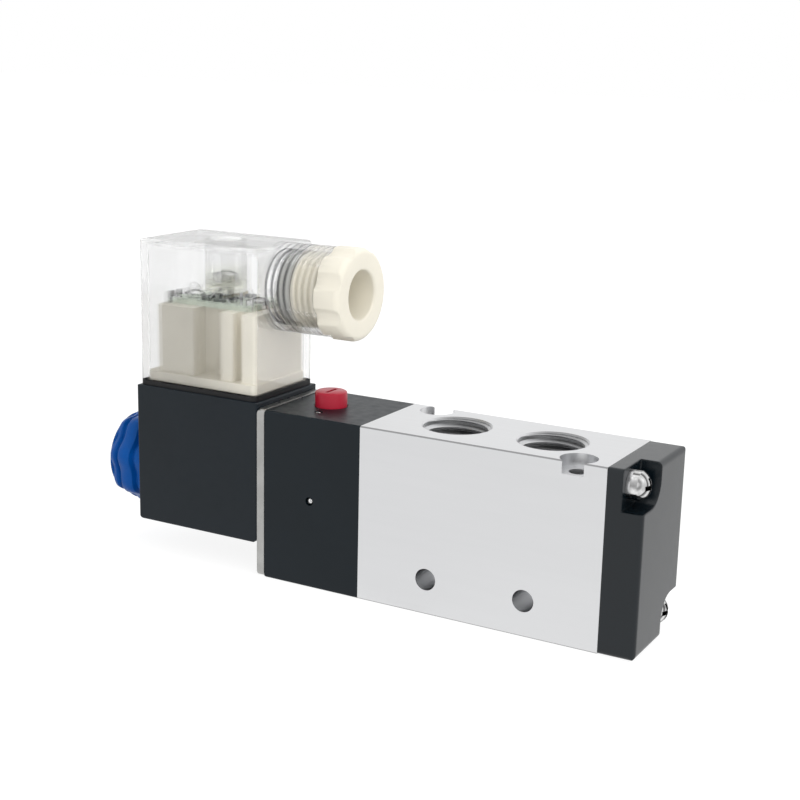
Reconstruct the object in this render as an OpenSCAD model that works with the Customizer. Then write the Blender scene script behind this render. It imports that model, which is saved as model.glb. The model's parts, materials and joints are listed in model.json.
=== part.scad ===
// Solenoid valve with five ports and two positions, spring return, and a plug connector on its coil.
// The origin is the mouth of the supply port in the underside. +X runs to the end cap, the side with
// the visible ball plug faces -Y, and +Z is up through the outlet ports.

/* [Valve body] */
// Length of the aluminium body
body_l = 50.4; // [50:0.2:56]
// Width of body, pilot body and end cap across the side faces
body_w = 22; // [22:0.2:25]
// Height of body, pilot body and end cap
body_h = 35; // [35:0.5:40]
// Chamfer along the body's long edges
body_chamfer = 0.25; // [0.15:0.05:0.6]
// Height of the spool axis above the underside
spool_z = 17.5; // [17:0.1:18]

/* [Ports] */
// Distance between the two outlet ports in the top
outlet_pitch = 20; // [19:0.2:21]
// Distance between the two exhaust ports in the underside
exhaust_pitch = 36; // [35:0.2:36.6]
// Thread diameter of the outlet and supply ports
port_d = 13.16; // [12.6:0.02:13.4]
// Thread diameter of the exhaust ports
exhaust_d = 9.73; // [9:0.01:10]
// Depth of the outlet and supply ports
port_depth = 9.5; // [8:0.25:9.5]
// Depth of the exhaust ports
exhaust_depth = 8; // [6:0.25:9]
// Chamfer at each port's mouth
port_chamfer = 0.3; // [0.2:0.05:0.5]
// Diameter of the passage from a port to the spool bore
passage_d = 5; // [3:0.25:5.5]

/* [Mounting holes] */
// Diameter of the two holes through the side faces
side_hole_d = 4.3; // [3.2:0.1:4.5]
// Distance between the two side holes
side_hole_pitch = 20.4; // [19.5:0.1:20.8]
// Height of the side holes above the underside
side_hole_z = 7; // [6:0.1:8]
// Diameter of the two holes from top to underside
top_hole_d = 3.6; // [3:0.1:3.8]
// Distance of a top hole from the middle of the body, along its length
top_hole_x = 18.7; // [18.4:0.1:19]
// Distance of a top hole's centre from the side face it is near
top_hole_edge = 2.8; // [2.6:0.1:2.9]
// Diameter of the counterbore that opens through the side face
counterbore_d = 7; // [6:0.1:7.2]
// Depth of the counterbore
counterbore_depth = 2.5; // [1.5:0.1:2.6]

/* [Spool valve] */
// Diameter of the spool bore
spool_bore_d = 9; // [8.6:0.1:9.4]
// Diameter of the ring chambers between the sealing lands
chamber_d = 11; // [10.4:0.1:11.4]
// Width of each sealing land in the bore
land_w = 2.4; // [2:0.1:2.8]
// Travel of spool and piston
spool_stroke = 3; // [2.4:0.1:3.1]
// Thickness of a spool seal ring
seal_t = 1.2; // [1:0.05:1.3]
// Diameter of the spool's waist between its flanges
waist_d = 5.4; // [4:0.1:6]
// Wire diameter of the return spring
return_wire_d = 0.6; // [0.4:0.05:0.7]
// Turns of the return spring
return_turns = 4; // [3:0.5:4.5]
// Diameter of the pilot piston's chamber
piston_bore_d = 13; // [12:0.1:13.4]
// Thickness of the pilot piston
piston_t = 4; // [3.4:0.1:4.4]

/* [Pilot body] */
// Length of the pilot body
pilot_l = 22.2; // [22.1:0.1:24]
// Distance of the override button's axis from the plate end of the pilot body
button_x = 8.8; // [8.7:0.1:9.5]
// Radius of the pilot body's edges across the top and the underside, at its plate end
pilot_edge_r = 0.8; // [0.4:0.1:1.2]
// Radius of the pilot body's upright edges at its plate end
pilot_fine_r = 0.2; // [0.1:0.05:0.4]
// Diameter of the supply gallery to the pilot stage
gallery_d = 1.6; // [1:0.1:1.8]
// Diameter of the steel balls that plug the drillings
ball_d = 1.7; // [1.5:0.05:1.8]
// Thickness of the plate between pilot body and coil
plate_t = 1.7; // [1.6:0.1:3]

/* [Manual override] */
// Diameter of the button
button_d = 6.5; // [6.2:0.1:7]
// Height of the button above the pilot body
button_proud = 3; // [2.6:0.1:4]
// Travel of the button
button_travel = 2; // [1.6:0.1:2.2]
// Width of the screwdriver slot in the button
button_slot_w = 1; // [0.6:0.1:1.2]
// Depth of the screwdriver slot
button_slot_depth = 1.2; // [0.6:0.1:2]

/* [End cap] */
// Thickness of the end cap
cap_t = 7; // [6.8:0.1:9]
// Radius of the end cap's outer edges
cap_edge_r = 1; // [0.5:0.1:1.2]
// Width of a screw pocket, from the side face
pocket_w = 8.6; // [8:0.1:9]
// Height of a screw pocket, from the top or the underside
pocket_h = 7.7; // [7.6:0.1:8.6]
// Radius of a screw pocket's inner corner
pocket_r = 4.5; // [3:0.1:5]
// Thickness of the cap under a screw head
pocket_floor = 2.95; // [2.4:0.05:3.2]
// Thread diameter of the cap and pilot screws
screw_d = 3; // [2.5:0.1:3.2]
// Distance of a screw's axis from the side face
screw_edge_y = 4; // [3.8:0.1:4.2]
// Distance of a screw's axis from the top or the underside
screw_edge_z = 3.5; // [3.4:0.1:4]
// Thickness of the sealing gaskets at both ends of the body
gasket_t = 0.6; // [0.4:0.1:0.8]

/* [Armature] */
// Outer diameter of the armature tube
tube_d = 9; // [8.6:0.1:9.4]
// Wall of the armature tube
tube_wall = 0.5; // [0.3:0.05:0.6]
// Travel of the armature
armature_stroke = 0.8; // [0.5:0.05:1]
// Length of the armature
armature_l = 18.8; // [16:0.2:20]
// Diameter of the threaded stud that the coil nut screws onto
stud_d = 8; // [7:0.1:8.4]

/* [Coil] */
// Length of the coil along the armature tube
coil_l = 30.2; // [30:0.1:34]
// Height of the coil
coil_h = 29.2; // [29:0.1:33]
// Distance from the coil's underside up to the armature tube's axis
coil_axis_h = 10.7; // [10.6:0.1:11]
// Radius of the coil's lower edges across its ends
coil_edge_r = 1.3; // [0.6:0.1:1.5]
// Radius of the coil's other edges
coil_fine_r = 0.4; // [0.2:0.1:0.5]
// Gap between the plate and the coil
coil_gap = 0.1; // [0.05:0.05:0.3]
// Outer diameter of the winding
winding_d = 16.8; // [15:0.1:17]
// Thickness of the steel yoke around the winding
yoke_t = 1.5; // [1:0.1:1.6]

/* [Coil nut] */
// Outer diameter of the coil nut
nut_d = 20.9; // [18:0.1:21.2]
// Thickness of the coil nut
nut_l = 9.4; // [9.2:0.1:11]
// Lobes around the coil nut
nut_lobes = 6; // [5:1:8]
// Distance the coil nut unscrews
nut_travel = 6; // [3:0.5:6.2]

/* [Connector] */
// Length of the connector housing
conn_l = 29.2; // [28.6:0.1:29.6]
// Width of the connector housing
conn_w = 20.8; // [20.6:0.1:21.8]
// Height of the connector housing
conn_h = 29.5; // [29.2:0.1:33]
// Distance of the connector from the coil's plate end
conn_inset = 0.6; // [0.4:0.1:1.4]
// Wall of the connector housing
conn_wall = 1; // [0.8:0.05:1.1]
// Radius of the connector housing's edges
conn_edge_r = 1.2; // [0.6:0.1:1.6]
// Thickness of the gasket under the connector
conn_gasket_t = 1; // [0.6:0.1:1.5]
// Height of the terminal block above the gasket
block_h = 16; // [15.8:0.1:17]
// Outer diameter of the screw well in the housing's roof
well_d = 8.6; // [8.4:0.1:9]
// Diameter of the screw well's hole
well_hole_d = 6.6; // [6.4:0.1:6.8]
// Height of the well's floor above the gasket
well_floor_h = 18.8; // [18.6:0.1:19.4]

/* [Cable gland] */
// Outer diameter of the neck
neck_d = 18; // [17.8:0.1:18.6]
// Length of the neck beyond the housing
neck_l = 12.6; // [12.2:0.1:14]
// Height of the neck's axis above the gasket
neck_axis_h = 21.1; // [20.8:0.1:21.4]
// Thread diameter inside the neck
gland_thread_d = 15.3; // [15:0.1:15.5]
// Diameter of the gland nut's head
gland_head_d = 18.5; // [18:0.1:20]
// Length of the gland nut's head
gland_head_l = 5.5; // [5.2:0.1:8]
// Diameter of the cable hole through the gland nut
cable_hole_d = 9.7; // [9.2:0.1:10]
// Diameter of the cable hole through the rubber grommet
grommet_hole_d = 7.6; // [7.4:0.1:8]
// Grips around the gland nut
gland_grips = 8; // [6:1:9]
// Distance the gland nut unscrews
gland_travel = 5; // [4:0.1:5.2]

/* [Hidden] */
$fn = 64;
// Radial clearance of a sliding or turning fit
running = 0.05;
// Radial clearance of a screw's shank in its hole
shank_play = 0.1;
// Clearance that keeps two resting pieces just apart
play = 0.02;
// Overlap that makes a cut pass cleanly through a face
eps = 0.1;

body_x = body_l / 2;
pilot_x = -body_x - pilot_l;
plate_x = pilot_x - plate_t;
coil_x = plate_x - coil_gap;
coil_end_x = coil_x - coil_l;

screw_y = body_w / 2 - screw_edge_y;
screw_low_z = screw_edge_z;
screw_high_z = body_h - screw_edge_z;
top_hole_y = body_w / 2 - top_hole_edge;
screw_head_d = 5.6;
cap_screw_head_d = 5.4;
cap_screw_head_h = 3;
cap_screw_dome_r = 3;
cap_washer_t = 0.8;
cap_screw_l = 6;
gasket_inset = 1.2;
pilot_screw_reach = 3.5;
pilot_screw_l = plate_t + pilot_l + pilot_screw_reach;
sunk_head_h = 1.5;

bore_r = spool_bore_d / 2;
land_inner_x = outlet_pitch / 4;
land_outer_x = (outlet_pitch + exhaust_pitch) / 4;
chamber_end_x = exhaust_pitch - land_outer_x - land_w / 2;
seal_end_x = (body_x + chamber_end_x) / 2;
spool_rest_x = -spool_stroke / 2;
flange_w = 2.6;
flange_r = bore_r - running;
seal_out_r = bore_r - running;
seal_groove_r = seal_out_r - seal_t - play;
// Middles of the seal rings, with the spool in the middle of its travel
seal_xs = [
    -seal_end_x, -land_outer_x - spool_stroke / 2, -land_inner_x + spool_stroke / 2,
    land_inner_x - spool_stroke / 2, land_outer_x + spool_stroke / 2, seal_end_x
];

gallery_y = -body_w / 2 + 2.4;
piston_bore_r = piston_bore_d / 2;
piston_front_gap = 1;
piston_x = -body_x - spool_stroke - piston_front_gap;
piston_boss_d = 6;
piston_boss_l = 0.6;
piston_depth = piston_front_gap + spool_stroke + piston_t + piston_boss_l + play;
piston_seal_t = 1.4;
spring_seat_x = spool_rest_x + seal_end_x + flange_w / 2;
cap_outer_wall = 2.6;
spring_end_x = body_x + cap_t - cap_outer_wall;
spool_nose_d = 3.4;
spool_nose_l = 2.6;

button_ax = pilot_x + button_x;
button_bore_r = button_d / 2 + shank_play;
button_h = 6.2;
button_bore_depth = 10;
stem_flange_t = 2;
stem_d = 4.8;
stem_bore_d = 5;
stem_seal_t = 1;
stem_spring_wire_d = 0.4;
stem_pin_d = 3;
stem_pin_l = 3.2;
outlet_drill_z = spool_z + 2.9;
supply_drill_z = spool_z + 0.4;
stem_tip_z = spool_z + 0.9;
stem_bottom_z = stem_tip_z - button_travel - 1.4;
stem_low_seal_z = supply_drill_z + 1.3;
button_bottom_z = body_h + button_proud - button_h;
stem_spring_z = body_h - button_bore_depth;
stem_seal_drop = 1.2;
stem_high_seal_z = stem_spring_z - stem_seal_drop;
stem_spring_l = button_bottom_z - stem_flange_t - stem_spring_z;
supply_drill_x = button_ax + 2;
top_drill_x = button_ax + 1;
top_drill_inset = 4.8;
top_drill_y = -body_w / 2 + top_drill_inset;
drill_d = 1.4;

tube_r = tube_d / 2;
tube_bore_r = tube_r - tube_wall;
tube_flange_d = 14;
tube_flange_t = 1.8;
tube_pocket_x = pilot_x + tube_flange_t;
tube_seal_t = 1;
tube_seal_r = 5.6;
nozzle_d = 5;
nozzle_l = 2.8;
nozzle_tip_l = 0.5;
nozzle_tip_d = 2.4;
orifice_d = 1;
armature_r = tube_bore_r - running;
armature_front_x = tube_pocket_x - nozzle_tip_l;
armature_back_x = armature_front_x - armature_l;
core_face_x = armature_back_x - armature_stroke;
spring_pocket_d = 4.4;
spring_pocket_l = 8;
armature_seal_d = 4;
armature_seal_t = 1.5;
back_seal_d = 2.6;
back_seal_t = 0.7;
core_nose_d = 2.4;
core_nose_l = spring_pocket_l - back_seal_t;
core_shoulder_l = 3;
stud_l = nut_travel + 0.5;

coil_z = spool_z - coil_axis_h;
coil_top_z = coil_z + coil_h;
coil_bore_d = tube_d + 2 * shank_play;
coil_wall = 1.5;
yoke_w = winding_d + 1.4;
bobbin_flange_t = 1;
bobbin_wall = 0.9;
yoke_in_x = coil_x - coil_wall - yoke_t;
yoke_out_x = coil_end_x + coil_wall + yoke_t;
bobbin_l = yoke_in_x - yoke_out_x;

blade_t = 0.8;
blade_w = 6.3;
blade_pitch = 16;
blade_top = 9;
ground_y = 6;
cover_screw_reach = 5;
insert_d = 5;
insert_floor_t = 1;

conn_x = coil_x - conn_inset - conn_l / 2;
conn_z = coil_top_z + conn_gasket_t;
conn_top_z = conn_z + conn_h;
conn_out_x = conn_x + conn_l / 2;
block_flange_h = 2;
block_flange_play = 0.15;
block_step = 0.7;
block_left_step = 2.25;
block_right_step = 0.25;
wide_channel_x = -2;
wide_channel_w = 6.8;
wide_channel_d = 4;
slim_channel_x = 7.8;
slim_channel_w = 2.1;
slim_channel_d = 3;
neck_z = conn_z + neck_axis_h;
neck_end_x = conn_out_x + neck_l;
neck_floor_t = 2.4;
neck_floor_x = conn_out_x + neck_floor_t;
neck_hole_d = 10;
gland_sleeve_l = gland_travel + 1.2;
sleeve_x = neck_end_x - gland_sleeve_l;
gland_washer_t = 0.8;
grommet_l = sleeve_x - gland_washer_t - neck_floor_x;
grommet_play = 0.9;
grommet_d = gland_thread_d - 2 * grommet_play;

nut_face_x = coil_end_x - coil_gap;
nut_seal_t = 1.2;
nut_seal_r = 6;
nut_bore_l = stud_l + coil_gap;

well_floor_z = conn_z + well_floor_h;
well_floor_t = 1.2;
cover_head_d = 5.4;
cover_head_h = 2.2;
cover_seal_t = 0.8;
cover_screw_z = well_floor_z + well_floor_t + cover_seal_t;
board_t = 1.2;
board_z = conn_z + block_h + play;
board_l = 20;
board_w = 11;
clip_l = 4.7;
clip_w = 6.6;
clip_h = 7;
clip_pitch = 16;
clip_screw_d = 2.6;
clip_screw_head_d = 4.4;
clip_screw_head_h = 2.2;
led_d = 3;
led_x = -5.4;
led_y = -3.6;
resistor_d = 1.4;
resistor_l = 5;

black = [0.13, 0.14, 0.15];
clear = [0.86, 0.9, 0.92, 0.35];

// Turns a shape that stands along +Z so that it lies along +X
module along_x() {
    rotate([0, 90, 0]) children();
}

// Cylinder along +X from x, on the line at y and z
module rod_x(x, l, d, y = 0, z = spool_z) {
    translate([x, y, z]) along_x() cylinder(h = l, d = d);
}

// Cone along +X from x
module cone_x(x, l, d1, d2, y = 0, z = spool_z) {
    translate([x, y, z]) along_x() cylinder(h = l, d1 = d1, d2 = d2);
}

// Round ring of the given thickness about an axis along X
module ring_x(x, r, t, y = 0, z = spool_z) {
    translate([x, y, z]) along_x() rotate_extrude() translate([r, 0]) circle(d = t, $fn = 32);
}

// Rectangle with round corners, centred
module round_rect(x, y, r) {
    square([x - 2 * r, y], center = true);
    square([x, y - 2 * r], center = true);
    for (sx = [-1, 1], sy = [-1, 1])
        translate([sx * (x / 2 - r), sy * (y / 2 - r)]) circle(r = r, $fn = 32);
}

// Block with every edge rounded, centred
module soft_block(x, y, z, r) {
    intersection() {
        translate([0, 0, -z / 2]) linear_extrude(z) round_rect(x, y, r);
        translate([0, y / 2, 0]) rotate([90, 0, 0]) linear_extrude(y) round_rect(x, z, r);
        translate([-x / 2, 0, 0]) rotate([90, 0, 90]) linear_extrude(x) round_rect(y, z, r);
    }
}

// Rectangle with its two corners at +X rounded, from x = 0, centred in Y
module end_round_rect(x, y, r) {
    translate([0, -y / 2]) square([x - r, y]);
    translate([0, r - y / 2]) square([x, y - 2 * r]);
    for (s = [-1, 1])
        translate([x - r, s * (y / 2 - r)]) circle(r = r, $fn = 32);
}

// Block from x = 0 on, standing on z = 0, with one radius for the upright edges of its +X end, one
// for that end's edges across the top and the underside, and one for the edges along its length
module end_round_block(l, w, h, upright_r, level_r, long_r) {
    intersection() {
        linear_extrude(h) end_round_rect(l, w, upright_r);
        translate([0, w / 2, h / 2]) rotate([90, 0, 0]) linear_extrude(w) end_round_rect(l, h, level_r);
        translate([0, 0, h / 2]) rotate([90, 0, 90]) linear_extrude(l) round_rect(w, h, long_r);
    }
}

// Compression spring along +Z from 0 to l, of round wire, with a closed turn at each end
module spring(l, r, wire_d, turns) {
    sides = 6;
    steps = 14;
    count = ceil(turns * steps);
    dead = wire_d * 1.06;
    rise = (l - wire_d - 2 * dead) / (turns - 2);
    function lift(t) = t < 1 ? t * dead
        : t > turns - 1 ? l - wire_d - (turns - t) * dead
        : dead + (t - 1) * rise;
    rings = [
        for (i = [0:count], k = [0:sides - 1])
            let (
                t = turns * i / count,
                a = 360 * t,
                s = 360 * k / sides,
                q = r + cos(s) * wire_d / 2
            )
            [q * cos(a), q * sin(a), wire_d / 2 + lift(t) + sin(s) * wire_d / 2]
    ];
    sheath = [
        for (i = [0:count - 1], k = [0:sides - 1])
            let (a = i * sides + k, b = i * sides + (k + 1) % sides)
            [a, a + sides, b + sides, b]
    ];
    first = [for (k = [0:sides - 1]) k];
    last = [for (k = [0:sides - 1]) count * sides + sides - 1 - k];
    polyhedron(rings, concat(sheath, [first, last]), convexity = 8);
}

// Spring along +X from x
module spring_x(x, l, r, wire_d, turns) {
    translate([x, 0, spool_z]) along_x() spring(l, r, wire_d, turns);
}

// The two corners that the end cap's screws use, as sides and heights
cap_corners = [[-1, screw_high_z], [1, screw_low_z]];
// The two corners that the pilot screws use
pilot_corners = [[1, screw_high_z - 1], [-1, screw_low_z + 1]];

// Threaded port drilled down its own -Z from the mouth, with its passage to the spool chamber
module port_cut(d, depth, reach) {
    translate([0, 0, -depth]) cylinder(h = depth + eps, d = d);
    translate([0, 0, -port_chamfer]) cylinder(h = port_chamfer, d1 = d, d2 = d + 2 * port_chamfer);
    translate([0, 0, -reach]) cylinder(h = reach, d = passage_d);
}

module spool_bore_cut() {
    rod_x(-body_x - eps, body_l + 2 * eps, spool_bore_d);
    rod_x(-land_inner_x + land_w / 2, 2 * land_inner_x - land_w, chamber_d);
    for (s = [-1, 1]) {
        outlet_mid = s * (land_inner_x + land_outer_x) / 2;
        outlet_l = land_outer_x - land_inner_x - land_w;
        rod_x(outlet_mid - outlet_l / 2, outlet_l, chamber_d);
        exhaust_l = chamber_end_x - land_outer_x - land_w / 2;
        rod_x(s * exhaust_pitch / 2 - exhaust_l / 2, exhaust_l, chamber_d);
    }
}

module valve_body() {
    w = body_w / 2;
    h = body_h;
    c = body_chamfer;
    color([0.86, 0.87, 0.88]) difference() {
        translate([-body_x, 0, 0]) rotate([90, 0, 90]) linear_extrude(body_l) polygon([
            [c - w, 0], [w - c, 0], [w, c], [w, h - c], [w - c, h], [c - w, h], [-w, h - c], [-w, c]
        ]);
        spool_bore_cut();
        for (s = [-1, 1]) {
            translate([s * outlet_pitch / 2, 0, h]) port_cut(port_d, port_depth, h - spool_z);
            translate([s * exhaust_pitch / 2, 0, 0]) rotate([180, 0, 0])
                port_cut(exhaust_d, exhaust_depth, spool_z);
            translate([s * side_hole_pitch / 2, w + eps, side_hole_z]) rotate([90, 0, 0])
                cylinder(h = body_w + 2 * eps, d = side_hole_d);
            translate([s * top_hole_x, -s * top_hole_y, -eps])
                cylinder(h = h + 2 * eps, d = top_hole_d);
            translate([s * top_hole_x, -s * top_hole_y, h - counterbore_depth])
                cylinder(h = counterbore_depth + eps, d = counterbore_d);
        }
        rotate([180, 0, 0]) port_cut(port_d, port_depth, spool_z);
        rod_x(-body_x - eps, body_x + eps, gallery_d, gallery_y);
        translate([0, 0, spool_z]) rotate([90, 0, 0]) cylinder(h = -gallery_y, d = gallery_d);
        for (p = cap_corners)
            rod_x(body_x - cap_screw_l + pocket_floor - eps, cap_screw_l, screw_d + 2 * play,
                p[0] * screw_y, p[1]);
        for (p = pilot_corners)
            rod_x(-body_x - eps, pilot_screw_reach + 2 * eps, screw_d + 2 * play, p[0] * screw_y, p[1]);
    }
}

// Outline of the flat gasket that seals the spool bore, with its screw holes
module gasket_outline(corners, hole_d, inset) {
    difference() {
        round_rect(body_w - 2 * inset, body_h - 2 * inset, 2);
        for (p = corners)
            translate([p[0] * screw_y, p[1] - body_h / 2]) circle(d = screw_d + 2 * shank_play);
        translate([0, spool_z - body_h / 2]) circle(d = hole_d);
    }
}

// Shallow recess for a gasket in a face across the X axis
module gasket_recess() {
    translate([0, 0, body_h / 2]) rotate([90, 0, 90]) linear_extrude(gasket_t)
        round_rect(body_w - 2 * gasket_inset, body_h - 2 * gasket_inset, 2);
}

module pilot_body() {
    mouth = 0.2;
    color(black) difference() {
        translate([-body_x, 0, 0]) mirror([1, 0, 0])
            end_round_block(pilot_l, body_w, body_h, pilot_fine_r, pilot_edge_r, pilot_edge_r / 2);
        translate([-body_x - gasket_t, 0, 0]) gasket_recess();
        rod_x(-body_x - piston_depth, piston_depth + eps, piston_bore_d);
        rod_x(supply_drill_x, -body_x - supply_drill_x, gallery_d, gallery_y);
        translate([button_ax, 0, stem_spring_z])
            cylinder(h = button_bore_depth + eps, r = button_bore_r);
        translate([button_ax, 0, body_h - mouth])
            cylinder(h = mouth, r1 = button_bore_r, r2 = button_bore_r + mouth);
        translate([button_ax, 0, stem_bottom_z])
            cylinder(h = stem_spring_z - stem_bottom_z + eps, d = stem_bore_d);
        rod_x(pilot_x - eps, tube_flange_t + eps, tube_flange_d + 2 * shank_play);
        rod_x(tube_pocket_x - eps, nozzle_l + eps, nozzle_d);
        rod_x(tube_pocket_x, button_ax - tube_pocket_x, orifice_d);
        tube_seal_groove();
        rod_x(tube_pocket_x - eps, button_ax - tube_pocket_x - 1, drill_d - 0.2, 2, outlet_drill_z);
        rod_x(button_ax, -body_x - piston_depth - button_ax + eps, drill_d - 0.2, 0, outlet_drill_z);
        supply_drilling();
        for (p = pilot_corners)
            rod_x(pilot_x - eps, pilot_l + 2 * eps, screw_d + 2 * shank_play, p[0] * screw_y, p[1]);
    }
}

// Groove for the ring that seals the armature tube's flange
module tube_seal_groove() {
    groove_w = tube_seal_t + 2 * play;
    difference() {
        rod_x(tube_pocket_x - eps, tube_seal_t - play + eps, 2 * tube_seal_r + groove_w);
        rod_x(tube_pocket_x - 2 * eps, tube_seal_t + 2 * eps, 2 * tube_seal_r - groove_w);
    }
}

// Drillings from the side and from the top that carry the pilot supply, with their ball seats
module supply_drilling() {
    seat_depth = ball_d;
    translate([supply_drill_x, -body_w / 2 - eps, supply_drill_z]) rotate([-90, 0, 0]) {
        cylinder(h = seat_depth + eps, d = ball_d + 2 * play);
        cylinder(h = body_w / 2 + eps, d = drill_d);
    }
    translate([top_drill_x, top_drill_y, supply_drill_z]) cylinder(h = body_h, d = drill_d);
    translate([top_drill_x, top_drill_y, body_h - seat_depth])
        cylinder(h = seat_depth + eps, d = ball_d + 2 * play);
}

module ball_plugs() {
    sunk = ball_d / 2 + 0.1;
    color([0.75, 0.76, 0.78]) {
        translate([supply_drill_x, sunk - body_w / 2, supply_drill_z]) sphere(d = ball_d, $fn = 32);
        translate([top_drill_x, top_drill_y, body_h - ball_d / 2]) sphere(d = ball_d, $fn = 32);
    }
}

// Pocket in a corner of the end cap, from that corner inwards
module pocket_outline() {
    far = 2;
    translate([-far, -far]) square([pocket_w + far, pocket_h - pocket_r + far]);
    translate([-far, -far]) square([pocket_w - pocket_r + far, pocket_h + far]);
    translate([pocket_w - pocket_r, pocket_h - pocket_r]) circle(r = pocket_r);
}

module end_cap() {
    color(black) difference() {
        translate([body_x, 0, 0])
            end_round_block(cap_t, body_w, body_h, cap_edge_r, cap_edge_r, cap_edge_r * 0.8);
        translate([body_x, 0, 0]) gasket_recess();
        rod_x(body_x - eps, spring_end_x - body_x + eps, spool_bore_d);
        for (turn = [0, 180])
            translate([body_x + pocket_floor, 0, body_h / 2]) rotate([turn, 0, 0])
                translate([0, -body_w / 2, body_h / 2]) mirror([0, 0, 1]) rotate([90, 0, 90])
                linear_extrude(cap_t) pocket_outline();
        for (p = cap_corners)
            rod_x(body_x - eps, cap_t, screw_d + 2 * shank_play, p[0] * screw_y, p[1]);
    }
}

module pilot_gasket() {
    color([0.1, 0.1, 0.1]) translate([-body_x - gasket_t, 0, body_h / 2]) rotate([90, 0, 90])
        linear_extrude(gasket_t) difference() {
            gasket_outline(pilot_corners, piston_bore_d, gasket_inset);
            translate([gallery_y, spool_z - body_h / 2]) circle(d = gallery_d);
        }
}

module cap_gasket() {
    color([0.1, 0.1, 0.1]) translate([body_x, 0, body_h / 2]) rotate([90, 0, 90])
        linear_extrude(gasket_t) gasket_outline(cap_corners, spool_bore_d, gasket_inset);
}

// Domed screw head with a cross recess, standing on z = 0
module pan_head(d, h, dome_r) {
    slot_w = d * 0.16;
    slot_l = d * 0.6;
    difference() {
        intersection() {
            cylinder(h = h, d = d);
            translate([0, 0, h - dome_r]) sphere(r = dome_r);
        }
        for (a = [0, 90])
            rotate([0, 0, a]) translate([-slot_l / 2, -slot_w / 2, h * 0.45]) cube([slot_l, slot_w, h]);
    }
}

module cap_screws() {
    color([0.8, 0.8, 0.82]) for (p = cap_corners)
        translate([body_x + pocket_floor + cap_washer_t, p[0] * screw_y, p[1]]) along_x() {
            pan_head(cap_screw_head_d, cap_screw_head_h, cap_screw_dome_r);
            translate([0, 0, -cap_screw_l - cap_washer_t])
                cylinder(h = cap_screw_l + cap_washer_t + eps, d = screw_d);
        }
}

// Split spring washers under the cap screws
module cap_washers() {
    slit_w = 0.6;
    color([0.7, 0.7, 0.72]) for (p = cap_corners)
        translate([body_x + pocket_floor, p[0] * screw_y, p[1]]) along_x() difference() {
            cylinder(h = cap_washer_t, d = cap_screw_head_d);
            translate([0, 0, -eps]) cylinder(h = cap_washer_t + 2 * eps, d = screw_d + 2 * shank_play);
            translate([0, -slit_w / 2, -eps])
                cube([cap_screw_head_d, slit_w, cap_washer_t + 2 * eps]);
        }
}

module pilot_screws() {
    color([0.8, 0.8, 0.82]) for (p = pilot_corners)
        translate([plate_x, p[0] * screw_y, p[1]]) along_x() difference() {
            union() {
                cylinder(h = sunk_head_h, d1 = screw_head_d, d2 = screw_d);
                cylinder(h = pilot_screw_l, d = screw_d);
            }
            for (a = [0, 90])
                rotate([0, 0, a]) translate([-1.5, -0.35, -eps]) cube([3, 0.7, 1 + eps]);
        }
}

module mounting_plate() {
    corner_r = 1.2;
    color([0.78, 0.78, 0.77]) difference() {
        translate([plate_x, 0, body_h / 2]) rotate([90, 0, 90]) linear_extrude(plate_t)
            round_rect(body_w, body_h, corner_r);
        rod_x(plate_x - eps, plate_t + 2 * eps, coil_bore_d);
        for (p = pilot_corners) {
            rod_x(plate_x - eps, plate_t + 2 * eps, screw_d + 2 * shank_play, p[0] * screw_y, p[1]);
            cone_x(plate_x - play, sunk_head_h + play, screw_head_d + 2 * shank_play,
                screw_d + 2 * shank_play, p[0] * screw_y, p[1]);
        }
    }
}

module spool() {
    tail_x = spool_rest_x - seal_end_x - flange_w / 2;
    color([0.72, 0.74, 0.77]) difference() {
        union() {
            rod_x(tail_x, spring_seat_x - tail_x, waist_d);
            rod_x(piston_x, tail_x - piston_x + eps, piston_boss_d);
            rod_x(spring_seat_x - eps, spool_nose_l + eps, spool_nose_d);
            for (x = seal_xs)
                rod_x(spool_rest_x + x - flange_w / 2, flange_w, 2 * flange_r);
        }
        for (x = seal_xs)
            translate([spool_rest_x + x, 0, 0]) difference() {
                rod_x(-seal_t / 2 - play, seal_t + 2 * play, spool_bore_d + eps);
                rod_x(-seal_t, 2 * seal_t, 2 * seal_groove_r);
            }
    }
}

module spool_seals() {
    color([0.12, 0.12, 0.12]) for (x = seal_xs)
        ring_x(spool_rest_x + x, seal_out_r - seal_t / 2, seal_t);
}

module return_spring() {
    color([0.7, 0.7, 0.72]) spring_x(spring_seat_x, spring_end_x - spring_seat_x,
        bore_r - 0.3 - return_wire_d / 2, return_wire_d, return_turns);
}

module piston() {
    seal_r = piston_bore_r - running;
    color([0.9, 0.9, 0.86]) difference() {
        union() {
            rod_x(piston_x - piston_t, piston_t, 2 * seal_r);
            rod_x(piston_x - piston_t - piston_boss_l, piston_boss_l + eps, piston_boss_d);
        }
        difference() {
            rod_x(piston_x - piston_t / 2 - piston_seal_t / 2 - play, piston_seal_t + 2 * play,
                piston_bore_d);
            rod_x(piston_x - piston_t, piston_t, 2 * (seal_r - piston_seal_t - play));
        }
    }
}

module piston_seal() {
    color([0.12, 0.12, 0.12]) ring_x(piston_x - piston_t / 2,
        piston_bore_r - running - piston_seal_t / 2, piston_seal_t);
}

module override_button() {
    chamfer = 0.4;
    color([0.78, 0.16, 0.28]) translate([button_ax, 0, button_bottom_z]) difference() {
        union() {
            cylinder(h = button_h - chamfer, d = button_d);
            translate([0, 0, button_h - chamfer])
                cylinder(h = chamfer, d1 = button_d, d2 = button_d - 2 * chamfer);
        }
        translate([-button_slot_w / 2, -button_d, button_h - button_slot_depth])
            cube([button_slot_w, 2 * button_d, button_slot_depth + eps]);
        translate([0, 0, -eps]) cylinder(h = stem_pin_l + 0.3 + eps, d = stem_pin_d + 2 * running);
    }
}

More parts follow.
